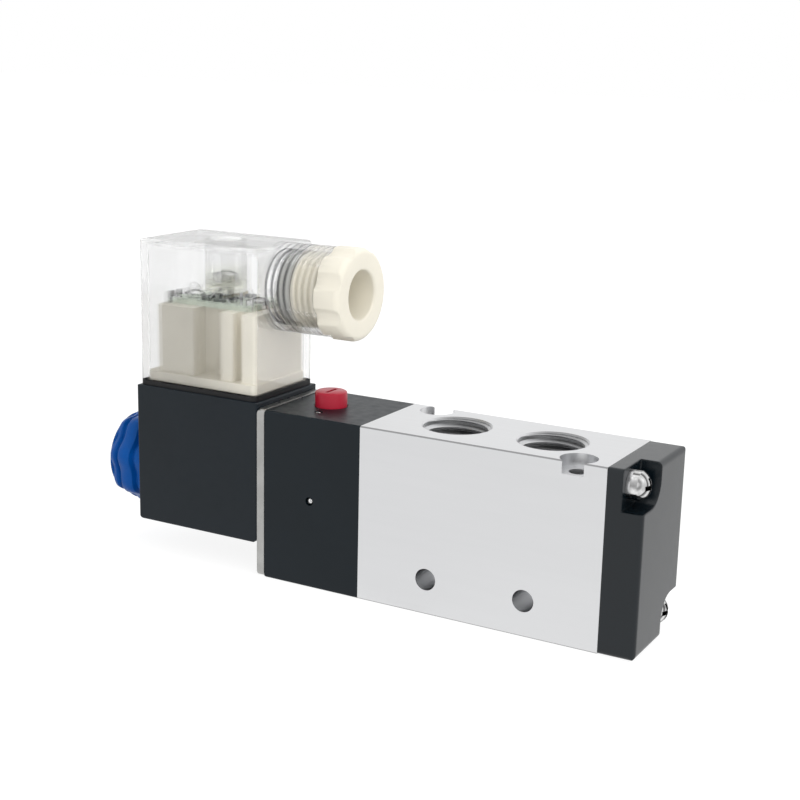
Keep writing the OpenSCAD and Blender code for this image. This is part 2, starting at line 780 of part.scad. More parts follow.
module override_stem() {
    flange_z = button_bottom_z - stem_flange_t;
    color([0.75, 0.62, 0.35]) translate([button_ax, 0, 0]) difference() {
        union() {
            translate([0, 0, flange_z]) cylinder(h = stem_flange_t, d = button_d);
            translate([0, 0, button_bottom_z - eps]) cylinder(h = stem_pin_l + eps, d = stem_pin_d);
            translate([0, 0, stem_tip_z]) cylinder(h = flange_z - stem_tip_z + eps, d = stem_d);
        }
        for (z = [stem_low_seal_z, stem_high_seal_z])
            translate([0, 0, z - stem_seal_t / 2 - play]) difference() {
                cylinder(h = stem_seal_t + 2 * play, d = stem_bore_d);
                cylinder(h = stem_seal_t + 2 * play, d = stem_bore_d - 2 * stem_seal_t - 4 * running);
            }
    }
}

module override_seals() {
    color([0.12, 0.12, 0.12]) for (z = [stem_low_seal_z, stem_high_seal_z])
        translate([button_ax, 0, z]) rotate_extrude()
            translate([(stem_bore_d - stem_seal_t) / 2 - running, 0]) circle(d = stem_seal_t, $fn = 32);
}

module override_spring() {
    color([0.7, 0.7, 0.72]) translate([button_ax, 0, stem_spring_z])
        spring(stem_spring_l, stem_d / 2 + 0.2 + stem_spring_wire_d / 2, stem_spring_wire_d, 5);
}

module pilot_nozzle() {
    color([0.8, 0.65, 0.3]) difference() {
        union() {
            rod_x(tube_pocket_x, nozzle_l, nozzle_d - 2 * play);
            rod_x(tube_pocket_x - nozzle_tip_l, nozzle_tip_l + eps, nozzle_tip_d);
        }
        rod_x(tube_pocket_x - nozzle_tip_l - eps, nozzle_l + nozzle_tip_l + 2 * eps, orifice_d);
    }
}

module armature_tube() {
    color([0.8, 0.81, 0.82]) difference() {
        union() {
            rod_x(pilot_x, tube_flange_t, tube_flange_d);
            rod_x(coil_end_x + core_shoulder_l, tube_pocket_x - coil_end_x - core_shoulder_l, tube_d);
        }
        rod_x(coil_end_x, tube_pocket_x - coil_end_x + eps, 2 * tube_bore_r);
    }
}

module tube_seal() {
    color([0.12, 0.12, 0.12])
        ring_x(tube_pocket_x + tube_seal_t / 2 - play, tube_seal_r, tube_seal_t - 2 * play);
}

module fixed_core() {
    shoulder_x = coil_end_x + core_shoulder_l;
    color([0.75, 0.76, 0.77]) difference() {
        union() {
            rod_x(coil_end_x, core_shoulder_l, tube_d);
            rod_x(shoulder_x - eps, core_face_x - shoulder_x + eps, 2 * tube_bore_r - 2 * play);
            rod_x(coil_end_x - stud_l, stud_l + eps, stud_d);
            rod_x(core_face_x - eps, core_nose_l + eps, core_nose_d);
        }
        rod_x(coil_end_x - stud_l - eps, core_face_x + core_nose_l - coil_end_x + stud_l + 2 * eps,
            orifice_d);
    }
}

module armature() {
    groove_w = 1.2;
    color([0.7, 0.71, 0.73]) difference() {
        rod_x(armature_back_x, armature_l, 2 * armature_r);
        rod_x(armature_back_x - eps, spring_pocket_l + eps, spring_pocket_d);
        rod_x(armature_front_x - armature_seal_t, armature_seal_t + eps, armature_seal_d + 2 * play);
        for (s = [-1, 1])
            translate([armature_back_x - eps, s * armature_r - groove_w / 2, spool_z - groove_w / 2])
                cube([armature_l + 2 * eps, groove_w, groove_w]);
    }
}

module armature_seals() {
    color([0.15, 0.3, 0.2]) {
        rod_x(armature_front_x - armature_seal_t, armature_seal_t, armature_seal_d);
        rod_x(armature_back_x + spring_pocket_l - back_seal_t, back_seal_t, back_seal_d);
    }
}

module armature_spring() {
    color([0.7, 0.7, 0.72]) spring_x(core_face_x, spring_pocket_l + armature_stroke,
        core_nose_d / 2 + 0.4 + 0.15, 0.3, 8);
}

// Empty places in the moulded coil: the magnetic parts, the blades and the threaded insert
module coil_cavity() {
    cavity_h = yoke_w + yoke_t;
    translate([yoke_out_x - yoke_t, -yoke_w / 2, spool_z - yoke_w / 2])
        cube([bobbin_l + 2 * yoke_t, yoke_w, cavity_h]);
    rod_x(coil_end_x - eps, coil_l + 2 * eps, coil_bore_d);
    blade_shapes(0);
    translate([conn_x, 0, coil_top_z - cover_screw_reach - insert_floor_t])
        cylinder(h = cover_screw_reach + insert_floor_t + eps, d = insert_d);
}

module coil_case() {
    color(black) difference() {
        translate([coil_x - coil_l / 2, 0, coil_z + coil_h / 2]) intersection() {
            soft_block(coil_l, body_w, coil_h, coil_fine_r);
            translate([0, body_w / 2, 0]) rotate([90, 0, 0]) linear_extrude(body_w)
                translate([0, coil_edge_r]) round_rect(coil_l, coil_h + 2 * coil_edge_r, coil_edge_r);
        }
        coil_cavity();
    }
}

module coil_bobbin() {
    core_d = coil_bore_d + 2 * bobbin_wall;
    color([0.85, 0.83, 0.76]) difference() {
        union() {
            rod_x(yoke_out_x, bobbin_l, core_d);
            rod_x(yoke_out_x, bobbin_flange_t, winding_d + 0.4);
            rod_x(yoke_in_x - bobbin_flange_t, bobbin_flange_t, winding_d + 0.4);
        }
        rod_x(yoke_out_x - eps, bobbin_l + 2 * eps, coil_bore_d);
    }
}

module coil_winding() {
    x = yoke_out_x + bobbin_flange_t;
    l = bobbin_l - 2 * bobbin_flange_t;
    color([0.72, 0.4, 0.2]) difference() {
        rod_x(x, l, winding_d);
        rod_x(x - eps, l + 2 * eps, coil_bore_d + 2 * bobbin_wall);
    }
}

module coil_yoke() {
    color([0.6, 0.61, 0.63]) difference() {
        translate([yoke_out_x - yoke_t, -yoke_w / 2, spool_z - yoke_w / 2])
            cube([bobbin_l + 2 * yoke_t, yoke_w, yoke_w + yoke_t]);
        translate([yoke_out_x, -yoke_w / 2 - eps, spool_z - yoke_w / 2 - eps])
            cube([bobbin_l, yoke_w + 2 * eps, yoke_w + eps]);
        rod_x(coil_end_x, coil_l, coil_bore_d);
    }
}

// The three flat contact blades, grown by the given clearance
module blade_shapes(grow) {
    bottom = spool_z + yoke_w / 2 + yoke_t + 0.4;
    h = coil_top_z + blade_top - bottom;
    for (s = [-1, 1])
        translate([conn_x + s * blade_pitch / 2 - blade_t / 2 - grow, -blade_w / 2 - grow, bottom - grow])
            cube([blade_t + 2 * grow, blade_w + 2 * grow, h + 2 * grow]);
    translate([conn_x - blade_w / 2 - grow, ground_y - blade_t / 2 - grow, bottom - grow])
        cube([blade_w + 2 * grow, blade_t + 2 * grow, h + 2 * grow]);
}

module terminal_blades() {
    color([0.82, 0.8, 0.7]) blade_shapes(0);
}

module screw_insert() {
    color([0.8, 0.65, 0.3])
    translate([conn_x, 0, coil_top_z - cover_screw_reach - insert_floor_t])
    difference() {
        cylinder(h = cover_screw_reach + insert_floor_t, d = insert_d);
        translate([0, 0, insert_floor_t]) cylinder(h = cover_screw_reach + eps, d = screw_d + 2 * play);
    }
}

module connector_gasket() {
    color([0.15, 0.15, 0.16]) translate([conn_x, 0, coil_top_z]) difference() {
        linear_extrude(conn_gasket_t) round_rect(conn_l, conn_w, conn_edge_r);
        translate([-conn_x, 0, -coil_top_z]) blade_shapes(shank_play);
        translate([0, 0, -eps]) cylinder(h = conn_gasket_t + 2 * eps, d = screw_d + 2 * shank_play);
    }
}

module connector_housing() {
    inner_l = conn_l - 2 * conn_wall;
    inner_w = conn_w - 2 * conn_wall;
    inner_h = conn_h - conn_wall;
    color(clear) difference() {
        union() {
            difference() {
                union() {
                    translate([conn_x, 0, conn_z + conn_h / 2 - conn_edge_r])
                        soft_block(conn_l, conn_w, conn_h + 2 * conn_edge_r, conn_edge_r);
                    translate([conn_out_x - conn_wall, 0, neck_z]) along_x()
                        cylinder(h = neck_l + conn_wall, d = neck_d);
                }
                translate([conn_x, 0, conn_z + inner_h / 2 - 1])
                    soft_block(inner_l, inner_w, inner_h + 2, conn_edge_r);
                translate([conn_x - conn_l, -conn_w, conn_z - 2 * conn_h])
                    cube([2 * conn_l, 2 * conn_w, 2 * conn_h]);
            }
            translate([conn_x, 0, well_floor_z])
                cylinder(h = conn_top_z - well_floor_z - conn_wall / 2, d = well_d);
        }
        translate([conn_x, 0, well_floor_z + well_floor_t]) cylinder(h = conn_h, d = well_hole_d);
        translate([conn_x, 0, well_floor_z - eps]) cylinder(h = conn_h, d = screw_d + 2 * shank_play);
        rod_x(neck_floor_x, neck_l, gland_thread_d, 0, neck_z);
        rod_x(conn_out_x - 2 * conn_wall, neck_l, neck_hole_d, 0, neck_z);
    }
}

// Channel cut down one long side of the terminal block
module block_channel(x, l, depth, side) {
    reach = conn_w;
    face = conn_w / 2 - conn_wall - block_flange_play - block_step;
    y = side > 0 ? face - depth : depth - face - reach;
    translate([conn_x + x, y, conn_z + block_flange_h]) cube([l, reach, block_h]);
}

module terminal_block() {
    flange_l = conn_l - 2 * conn_wall - 2 * block_flange_play;
    flange_w = conn_w - 2 * conn_wall - 2 * block_flange_play;
    color([0.87, 0.85, 0.76]) difference() {
        translate([conn_x, 0, conn_z]) {
            linear_extrude(block_flange_h) round_rect(flange_l, flange_w, 1);
            translate([(block_left_step - block_right_step) / 2, 0]) linear_extrude(block_h)
                round_rect(flange_l - block_left_step - block_right_step, flange_w - 2 * block_step, 0.6);
        }
        for (side = [-1, 1]) {
            block_channel(wide_channel_x, wide_channel_w, wide_channel_d, side);
            block_channel(slim_channel_x, slim_channel_w, slim_channel_d, side);
        }
        blade_shapes(shank_play);
        for (s = [-1, 1])
            translate([conn_x + s * clip_pitch / 2, 0, conn_z + block_h - clip_h / 2 + eps / 2])
                cube([clip_l + 2 * play, clip_w + 2 * play, clip_h + eps], center = true);
        translate([conn_x, 0, conn_z - eps]) cylinder(h = block_h + 2 * eps, d = screw_d + 2 * shank_play);
    }
}

module terminal_clips() {
    color([0.82, 0.68, 0.35]) difference() {
        for (s = [-1, 1])
            translate([conn_x + s * clip_pitch / 2 - clip_l / 2, -clip_w / 2, conn_z + block_h - clip_h])
                cube([clip_l, clip_w, clip_h]);
        blade_shapes(play);
        for (s = [-1, 1])
            translate([conn_x + s * clip_pitch / 2, 0, conn_z + block_h - clip_h / 2])
                cylinder(h = clip_h, d = clip_screw_d + 2 * play);
    }
}

module terminal_screws() {
    head_z = conn_z + block_h;
    shank_l = 1.6;
    color([0.82, 0.82, 0.84]) for (s = [-1, 1])
        translate([conn_x + s * clip_pitch / 2, 0, head_z]) {
            pan_head(clip_screw_head_d, clip_screw_head_h, clip_screw_head_d);
            translate([0, 0, -shank_l]) cylinder(h = shank_l + eps, d = clip_screw_d);
        }
}

module indicator_board() {
    color([0.45, 0.62, 0.5, 0.8]) translate([conn_x, 0, board_z]) difference() {
        translate([-board_l / 2, -board_w / 2, 0]) cube([board_l, board_w, board_t]);
        translate([0, 0, -eps]) cylinder(h = board_t + 2 * eps, d = screw_d + 0.6);
        for (s = [-1, 1])
            translate([s * clip_pitch / 2, 0, -eps])
                cylinder(h = board_t + 2 * eps, d = clip_screw_head_d + 0.4);
    }
}

module indicator_led() {
    rim_h = 0.8;
    straight_h = 2;
    dome_d = led_d - 0.6;
    color([0.85, 0.3, 0.25]) translate([conn_x + led_x, led_y, board_z + board_t]) {
        cylinder(h = rim_h, d = led_d);
        cylinder(h = straight_h, d = dome_d);
        translate([0, 0, straight_h]) intersection() {
            sphere(d = dome_d, $fn = 32);
            cylinder(h = led_d, d = led_d);
        }
    }
}

module indicator_resistor() {
    color([0.8, 0.72, 0.55])
        rod_x(conn_x - resistor_l / 2, resistor_l, resistor_d, -led_y, board_z + board_t + resistor_d / 2);
}

module cover_screw() {
    l = cover_screw_z - coil_top_z + cover_screw_reach;
    color([0.8, 0.8, 0.82]) translate([conn_x, 0, cover_screw_z]) {
        pan_head(cover_head_d, cover_head_h, cover_head_d);
        translate([0, 0, -l]) cylinder(h = l + eps, d = screw_d);
    }
}

module cover_screw_seal() {
    color([0.12, 0.12, 0.12]) translate([conn_x, 0, well_floor_z + well_floor_t]) difference() {
        cylinder(h = cover_seal_t, d = well_hole_d - 2 * shank_play);
        translate([0, 0, -eps]) cylinder(h = cover_seal_t + 2 * eps, d = screw_d + 2 * play);
    }
}

module gland_grommet() {
    color([0.75, 0.75, 0.72]) difference() {
        rod_x(neck_floor_x, grommet_l, grommet_d, 0, neck_z);
        rod_x(neck_floor_x - eps, grommet_l + 2 * eps, grommet_hole_d, 0, neck_z);
    }
}

module gland_washer() {
    color([0.9, 0.88, 0.8]) difference() {
        rod_x(sleeve_x - gland_washer_t, gland_washer_t, grommet_d, 0, neck_z);
        rod_x(sleeve_x - gland_washer_t - eps, gland_washer_t + 2 * eps, cable_hole_d, 0, neck_z);
    }
}

// Grip outline of the gland nut: round lobes with hollows between them
module grip_outline(d, count, hollow_r, depth) {
    difference() {
        circle(d = d);
        for (i = [0:count - 1])
            rotate(360 * (i + 0.5) / count) translate([d / 2 + hollow_r - depth, 0]) circle(r = hollow_r);
    }
}

module gland_nut() {
    round_r = 1.2;
    grip_hollow_r = 4.2;
    grip_depth = 0.6;
    mouth = 0.5;
    color([0.96, 0.93, 0.83]) translate([neck_end_x, 0, neck_z]) along_x() difference() {
        union() {
            intersection() {
                linear_extrude(gland_head_l)
                    grip_outline(gland_head_d, gland_grips, grip_hollow_r, grip_depth);
                rotate_extrude() {
                    square([gland_head_d / 2 - round_r, gland_head_l]);
                    square([gland_head_d / 2, gland_head_l - round_r]);
                    translate([gland_head_d / 2 - round_r, gland_head_l - round_r])
                        circle(r = round_r, $fn = 32);
                }
            }
            translate([0, 0, -gland_sleeve_l])
                cylinder(h = gland_sleeve_l + eps, d = gland_thread_d - 2 * running);
        }
        translate([0, 0, -gland_sleeve_l - eps])
            cylinder(h = gland_sleeve_l + gland_head_l + 2 * eps, d = cable_hole_d);
        translate([0, 0, gland_head_l - mouth])
            cylinder(h = mouth + eps, d1 = cable_hole_d, d2 = cable_hole_d + 2 * mouth);
    }
}

// One band of the coil nut, from x towards the nut's outer face
module nut_band(x, l, d) {
    hollow_r = 9;
    hollow_depth = 0.75;
    translate([x - l, 0, spool_z]) along_x() linear_extrude(l)
        rotate(180 / nut_lobes) grip_outline(d, nut_lobes, hollow_r, hollow_depth);
}

module coil_nut() {
    ring_l = 2.3;
    groove_l = 1;
    rim_l = 1.8;
    groove_depth = 0.7;
    rim_chamfer = 1;
    rim_d = nut_d - 0.8;
    seal_groove_w = nut_seal_t + 4 * running;
    color([0.1, 0.3, 0.65]) difference() {
        union() {
            nut_band(nut_face_x, ring_l, nut_d - groove_depth);
            nut_band(nut_face_x, nut_l - rim_l + eps, nut_d - 2 * groove_depth);
            nut_band(nut_face_x - ring_l - groove_l, nut_l - ring_l - 2 * groove_l - rim_l, nut_d);
            intersection() {
                nut_band(nut_face_x - nut_l + rim_l, rim_l, rim_d);
                cone_x(nut_face_x - nut_l, rim_l, rim_d - 2 * rim_chamfer, rim_d + 1);
            }
        }
        rod_x(nut_face_x - nut_bore_l, nut_bore_l + eps, stud_d + 2 * running);
        difference() {
            rod_x(nut_face_x - nut_seal_t, nut_seal_t + eps, 2 * nut_seal_r + seal_groove_w);
            rod_x(nut_face_x - nut_seal_t - eps, nut_seal_t + 3 * eps, 2 * nut_seal_r - seal_groove_w);
        }
    }
}

module coil_nut_seal() {
    color([0.12, 0.12, 0.12]) ring_x(nut_face_x - nut_seal_t / 2 + running, nut_seal_r, nut_seal_t);
}

valve_body();
pilot_body();
end_cap();
pilot_gasket();
cap_gasket();
cap_screws();
cap_washers();
pilot_screws();
mounting_plate();
ball_plugs();
spool();
spool_seals();
return_spring();
piston();
piston_seal();
override_button();
override_stem();
override_seals();
override_spring();
pilot_nozzle();
armature_tube();
tube_seal();
fixed_core();
armature();
armature_seals();
armature_spring();
coil_case();
coil_bobbin();
coil_winding();
coil_yoke();
terminal_blades();
screw_insert();
connector_gasket();
connector_housing();
terminal_block();
terminal_clips();
terminal_screws();
indicator_board();
indicator_led();
indicator_resistor();
cover_screw();
cover_screw_seal();
gland_grommet();
gland_washer();
gland_nut();
coil_nut();
coil_nut_seal();
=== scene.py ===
import json
import math

import bmesh
import bpy
from mathutils import Matrix, Vector


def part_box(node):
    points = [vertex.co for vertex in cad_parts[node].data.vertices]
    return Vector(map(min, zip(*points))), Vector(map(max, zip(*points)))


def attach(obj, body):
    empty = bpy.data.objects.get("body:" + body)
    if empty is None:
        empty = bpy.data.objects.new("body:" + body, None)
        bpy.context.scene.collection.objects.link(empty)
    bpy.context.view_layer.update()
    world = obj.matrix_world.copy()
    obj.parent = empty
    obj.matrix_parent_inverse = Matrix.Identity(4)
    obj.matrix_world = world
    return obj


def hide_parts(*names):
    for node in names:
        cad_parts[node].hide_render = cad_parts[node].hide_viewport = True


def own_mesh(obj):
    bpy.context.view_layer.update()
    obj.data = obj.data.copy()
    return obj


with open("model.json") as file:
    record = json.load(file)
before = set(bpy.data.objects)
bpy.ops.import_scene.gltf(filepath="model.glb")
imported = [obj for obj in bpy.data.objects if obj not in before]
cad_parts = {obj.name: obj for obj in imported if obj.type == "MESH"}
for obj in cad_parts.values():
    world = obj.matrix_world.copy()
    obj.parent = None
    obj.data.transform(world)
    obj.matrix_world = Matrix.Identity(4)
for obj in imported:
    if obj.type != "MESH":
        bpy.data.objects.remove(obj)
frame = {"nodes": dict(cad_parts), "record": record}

MM = 0.001
TAU = 2 * math.pi
WHITE = (1, 1, 1)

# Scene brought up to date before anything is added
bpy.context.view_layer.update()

# Camera, fitted to the straight edges of the aluminium body
CAMERA_AT = Vector((113.18, -243.54, 105.91)) * MM
CAMERA_AZIMUTH = math.radians(29.1664)
CAMERA_ELEVATION = math.radians(13.6331)
CAMERA_ROLL = math.radians(1.3406)
FOCAL_PX = 1465.408
IMAGE_PX = 800
SENSOR_MM = 36

# Light: the white surroundings that the camera and reflections see, and the light on dull surfaces
SURROUND = 1.0
SKY_LIGHT = 0.85

# Middle of the object, which the lamps point at
LAMP_TARGET = Vector((-0.015, 0, 0.03))

# Floor: glow and paint that the camera sees, paint that bounces light, and glow that metal mirrors
FLOOR_GLOW = 0.87
FLOOR_PAINT = 0.22
FLOOR_BOUNCE = 0.78
FLOOR_MIRROR = 1.0
FLOOR_SIZE = 6.0
FLOOR_GAP = 0.02 * MM

# Surfaces: depth of the fine relief that noise gives, and the grey of the shade painted in a recess
RELIEF_DEPTH = 0.05 * MM
RECESS_LEVEL = 0.03

# Clear plastic: colour of the shade painted on its wall edges and their density, and the share
# of lamp light it lets through
EDGE_COLOUR = (0.72, 0.73, 0.73)
EDGE_DENSITY = 0.85
LAMP_SHARE = 0.93

# Threads: pitch of each standard size, and how far a ridge's foot lies in the wall it stands on
PORT_PITCH = 1.337 * MM
EXHAUST_PITCH = 0.907 * MM
GLAND_PITCH = 1.41 * MM
STUD_PITCH = 1.0 * MM
RIDGE_BITE = 0.05 * MM

# Clear neck: its bore, and the chamfer at its mouth before the thread begins
GLAND_BORE_R = 7.65 * MM
NECK_CHAMFER = 0.4 * MM

# Blue nut: its soft lobes, how deep they are in mm, and how far it is screwed round
NUT_LOBES = 8
LOBE_DEPTH = 0.9
NUT_TURN = math.radians(11)

# Steps in a full turn
THREAD_STEPS = 56
LATHE_STEPS = 96
WIRE_SIDES = 8

# Chips sunk a little into the indicator board, and pins beside it, in mm: X, Y, width along X,
# depth along Y, and height
BOARD_CHIPS = (
    (-65.9, -4.6, 1.9, 1.2, 0.8), (-62.6, -4.7, 2.6, 1.1, 0.6), (-60.2, -3.6, 1.3, 1.9, 0.9),
    (-66.6, -2.2, 1.2, 1.4, 0.7), (-68.3, 2.6, 2.4, 1.4, 0.8), (-60.6, 3.4, 2.0, 1.5, 0.7),
)
BOARD_PINS = (
    (-74.3, -4.3, 0.5, 4.4, 2.5), (-73.3, -4.9, 2.2, 0.5, 1.5),
    (-55.0, -5.0, 1.6, 0.6, 2.3), (-56.9, -5.2, 0.5, 0.5, 3.9),
)
CHIP_SINK = 0.02
PIN_FOOT_Z = 53

# Bent leads sunk a little into the board, in mm: X, Y and height at each bend
BOARD_LEADS = (
    ((-65.3, -4.7, 0), (-64.9, -4.7, 0.9), (-64.2, -4.6, 1.5), (-63.4, -4.5, 2.2)),
    ((-67.4, -4.8, 0), (-67.1, -4.8, 0.8), (-66.4, -4.8, 1.1), (-65.6, -4.8, 0.7)),
    ((-61.6, -4.9, 0), (-61.3, -4.9, 0.8), (-60.6, -4.9, 1.0), (-59.9, -4.9, 0)),
    ((-59.2, -4.4, 0), (-59.0, -4.4, 1.1), (-58.4, -4.5, 1.4), (-57.6, -4.8, 1.2)),
)
LEAD_SINK = 0.05
LEAD_R = 0.16 * MM

MATERIAL_SLOTS = {p["node"]: p["material_slot"] for p in frame["record"]["subparts"]}
MOUNTS = {m["name"]: m for m in frame["record"]["mounts"]}


# Camera

def make_camera():
    """Camera at the photograph's place, angle and focal length."""
    sin_a, cos_a = math.sin(CAMERA_AZIMUTH), math.cos(CAMERA_AZIMUTH)
    sin_e, cos_e = math.sin(CAMERA_ELEVATION), math.cos(CAMERA_ELEVATION)
    back = Vector((sin_a * cos_e, -cos_a * cos_e, sin_e))
    right = Vector((cos_a, sin_a, 0))
    up = back.cross(right)
    sin_r, cos_r = math.sin(CAMERA_ROLL), math.cos(CAMERA_ROLL)
    rolled_right = cos_r * right + sin_r * up
    rolled_up = cos_r * up - sin_r * right
    camera = bpy.data.objects.new("camera", bpy.data.cameras.new("camera"))
    bpy.context.scene.collection.objects.link(camera)
    turn = Matrix((rolled_right, rolled_up, back)).transposed().to_4x4()
    camera.matrix_world = Matrix.Translation(CAMERA_AT) @ turn
    camera.data.sensor_width = SENSOR_MM
    camera.data.lens = FOCAL_PX * SENSOR_MM / IMAGE_PX
    camera.data.clip_start = 0.01
    camera.data.clip_end = 20
    bpy.context.scene.camera = camera


# Shader helpers

def grey(level):
    """Grey colour of a level."""
    return (level, level, level)


def combine_values(tree, operation, first, second=0.0):
    """Result of a math operation on one or two values, each a socket or a number."""
    node = tree.nodes.new("ShaderNodeMath")
    node.operation = operation
    for socket, value in zip(node.inputs, (first, second)):
        if isinstance(value, float):
            socket.default_value = value
        else:
            tree.links.new(value, socket)
    return node.outputs[0]


def noise(tree, place, scale, detail):
    """Noise texture at a place socket, with features about 1 / scale metres wide."""
    node = tree.nodes.new("ShaderNodeTexNoise")
    node.inputs["Scale"].default_value = scale
    node.inputs["Detail"].default_value = detail
    tree.links.new(place, node.inputs["Vector"])
    return node.outputs["Fac"]


def spread(tree, value, low, high, source=(0.3, 0.7)):
    """Maps the source range of a value, by default that of noise, to the range from low to high."""
    node = tree.nodes.new("ShaderNodeMapRange")
    node.inputs["From Min"].default_value = source[0]
    node.inputs["From Max"].default_value = source[1]
    node.inputs["To Min"].default_value = low
    node.inputs["To Max"].default_value = high
    tree.links.new(value, node.inputs["Value"])
    return node.outputs["Result"]


def blend_colours(tree, factor, first, second):
    """Colour that goes from first to second with a factor."""
    node = tree.nodes.new("ShaderNodeMix")
    node.data_type = "RGBA"
    tree.links.new(factor, node.inputs["Factor"])
    node.inputs["A"].default_value = (*first, 1)
    node.inputs["B"].default_value = (*second, 1)
    return node.outputs["Result"]


def multiply_colours(tree, first, second):
    """Product of two colour sockets."""
    node = tree.nodes.new("ShaderNodeMix")
    node.data_type = "RGBA"
    node.blend_type = "MULTIPLY"
    node.inputs["Factor"].default_value = 1.0
    tree.links.new(first, node.inputs["A"])
    tree.links.new(second, node.inputs["B"])
    return node.outputs["Result"]


def shade(tree, tone, factor, first, second):
    """Tone times a colour that goes from first to second with a factor."""
    return multiply_colours(tree, tone, blend_colours(tree, factor, first, second))


def mix_shaders(tree, factor, first, second):
    """First shader where the factor is 0, and second where it is 1."""
    node = tree.nodes.new("ShaderNodeMixShader")
    tree.links.new(factor, node.inputs["Fac"])
    tree.links.new(first, node.inputs[1])
    tree.links.new(second, node.inputs[2])
    return node.outputs["Shader"]


def seen_directly(tree):
    """1 for rays from the camera, from reflections and through clear walls, else 0."""
    rays = tree.nodes.new("ShaderNodeLightPath").outputs
    seen = combine_values(tree, "MAXIMUM", rays["Is Camera Ray"], rays["Is Glossy Ray"])
    return combine_values(tree, "MAXIMUM", seen, rays["Is Transmission Ray"])


def axis_values(tree, source):
    """X, Y and Z sockets of a texture coordinate."""
    coordinates = tree.nodes.new("ShaderNodeTexCoord")
    axes = tree.nodes.new("ShaderNodeSeparateXYZ")
    tree.links.new(coordinates.outputs[source], axes.inputs["Vector"])
    return axes.outputs


def along(tree, axis, low, high):
    """0 up to one place along an axis, and 1 from another on."""
    return spread(tree, axis_values(tree, "Object")[axis], 0, 1, source=(low, high))


def facing_bands(tree, stops):
    """Painted reflections and shade: grey levels by how far a surface turns away from the viewer,
    where 0 is face on and 1 is edge on.
    """
    weight = tree.nodes.new("ShaderNodeLayerWeight")
    ramp = tree.nodes.new("ShaderNodeValToRGB")
    ramp.color_ramp.interpolation = "EASE"
    elements = ramp.color_ramp.elements
    while len(elements) < len(stops):
        elements.new(0.5)
    for element, (place, level) in zip(elements, stops):
        element.position = place
        element.color = (*grey(level), 1)
    tree.links.new(weight.outputs["Facing"], ramp.inputs["Fac"])
    return ramp.outputs["Color"]


def rises_edge_on(tree, low, high):
    """Value that grows from low, face on, to high where a surface is seen edge on."""
    weight = tree.nodes.new("ShaderNodeLayerWeight")
    return spread(tree, weight.outputs["Facing"], low, high, source=(0.45, 0.95))


def slanting_faces(tree):
    """1 on faces that lean between upright and level, such as chamfers along X and thread flanks; it
    masks the shade painted there.
    """
    normal = axis_values(tree, "Normal")
    product = combine_values(tree, "MULTIPLY", normal["Y"], normal["Z"])
    return spread(tree, combine_values(tree, "ABSOLUTE", product), 0, 1, source=(0.12, 0.42))


def hollows(tree, reach):
    """0 deep in an object's own recesses and 1 in the open; it masks the shade painted there."""
    node = tree.nodes.new("ShaderNodeAmbientOcclusion")
    node.only_local = True
    node.samples = 8
    node.inputs["Distance"].default_value = reach
    return spread(tree, node.outputs["AO"], 0, 1, source=(0.35, 0.8))


def box_edges(tree, low, high, widths):
    """1 along the upright and the top edges of a box, over a width for each axis; it masks the shade
    painted there.
    """
    core = 0.7
    places = axis_values(tree, "Object")
    near = []
    for i, axis in enumerate("XYZ"):
        middle = (low[i] + high[i]) / 2 if axis != "Z" else 0.0
        offset = combine_values(tree, "SUBTRACT", places[axis], middle)
        away = combine_values(tree, "ABSOLUTE", offset)
        limit = high[i] - middle
        band = (limit - widths[i], limit - core * widths[i])
        near.append(spread(tree, away, 0, 1, source=band))
    pairs = [combine_values(tree, "MULTIPLY", near[i], near[j]) for i, j in ((0, 1), (1, 2), (0, 2))]
    edge = combine_values(tree, "MAXIMUM", pairs[0], pairs[1])
    edge = combine_values(tree, "MAXIMUM", edge, pairs[2])
    inside = spread(tree, places["X"], 1, 0, source=(high[0], high[0] + 0.1 * MM))
    return combine_values(tree, "MULTIPLY", edge, inside)


def worn_relief(tree, place, grain, grain_scale, edge):
    """Normal with the fine relief of noise, and with edges softened over a radius."""
    bump = tree.nodes.new("ShaderNodeBump")
    bump.inputs["Distance"].default_value = RELIEF_DEPTH
    bump.inputs["Strength"].default_value = grain
    tree.links.new(noise(tree, place, grain_scale, 2), bump.inputs["Height"])
    if edge:
        bevel = tree.nodes.new("ShaderNodeBevel")
        bevel.samples = 4
        bevel.inputs["Radius"].default_value = edge
        tree.links.new(bevel.outputs["Normal"], bump.inputs["Normal"])
    return bump.outputs["Normal"]


# Kinds of material

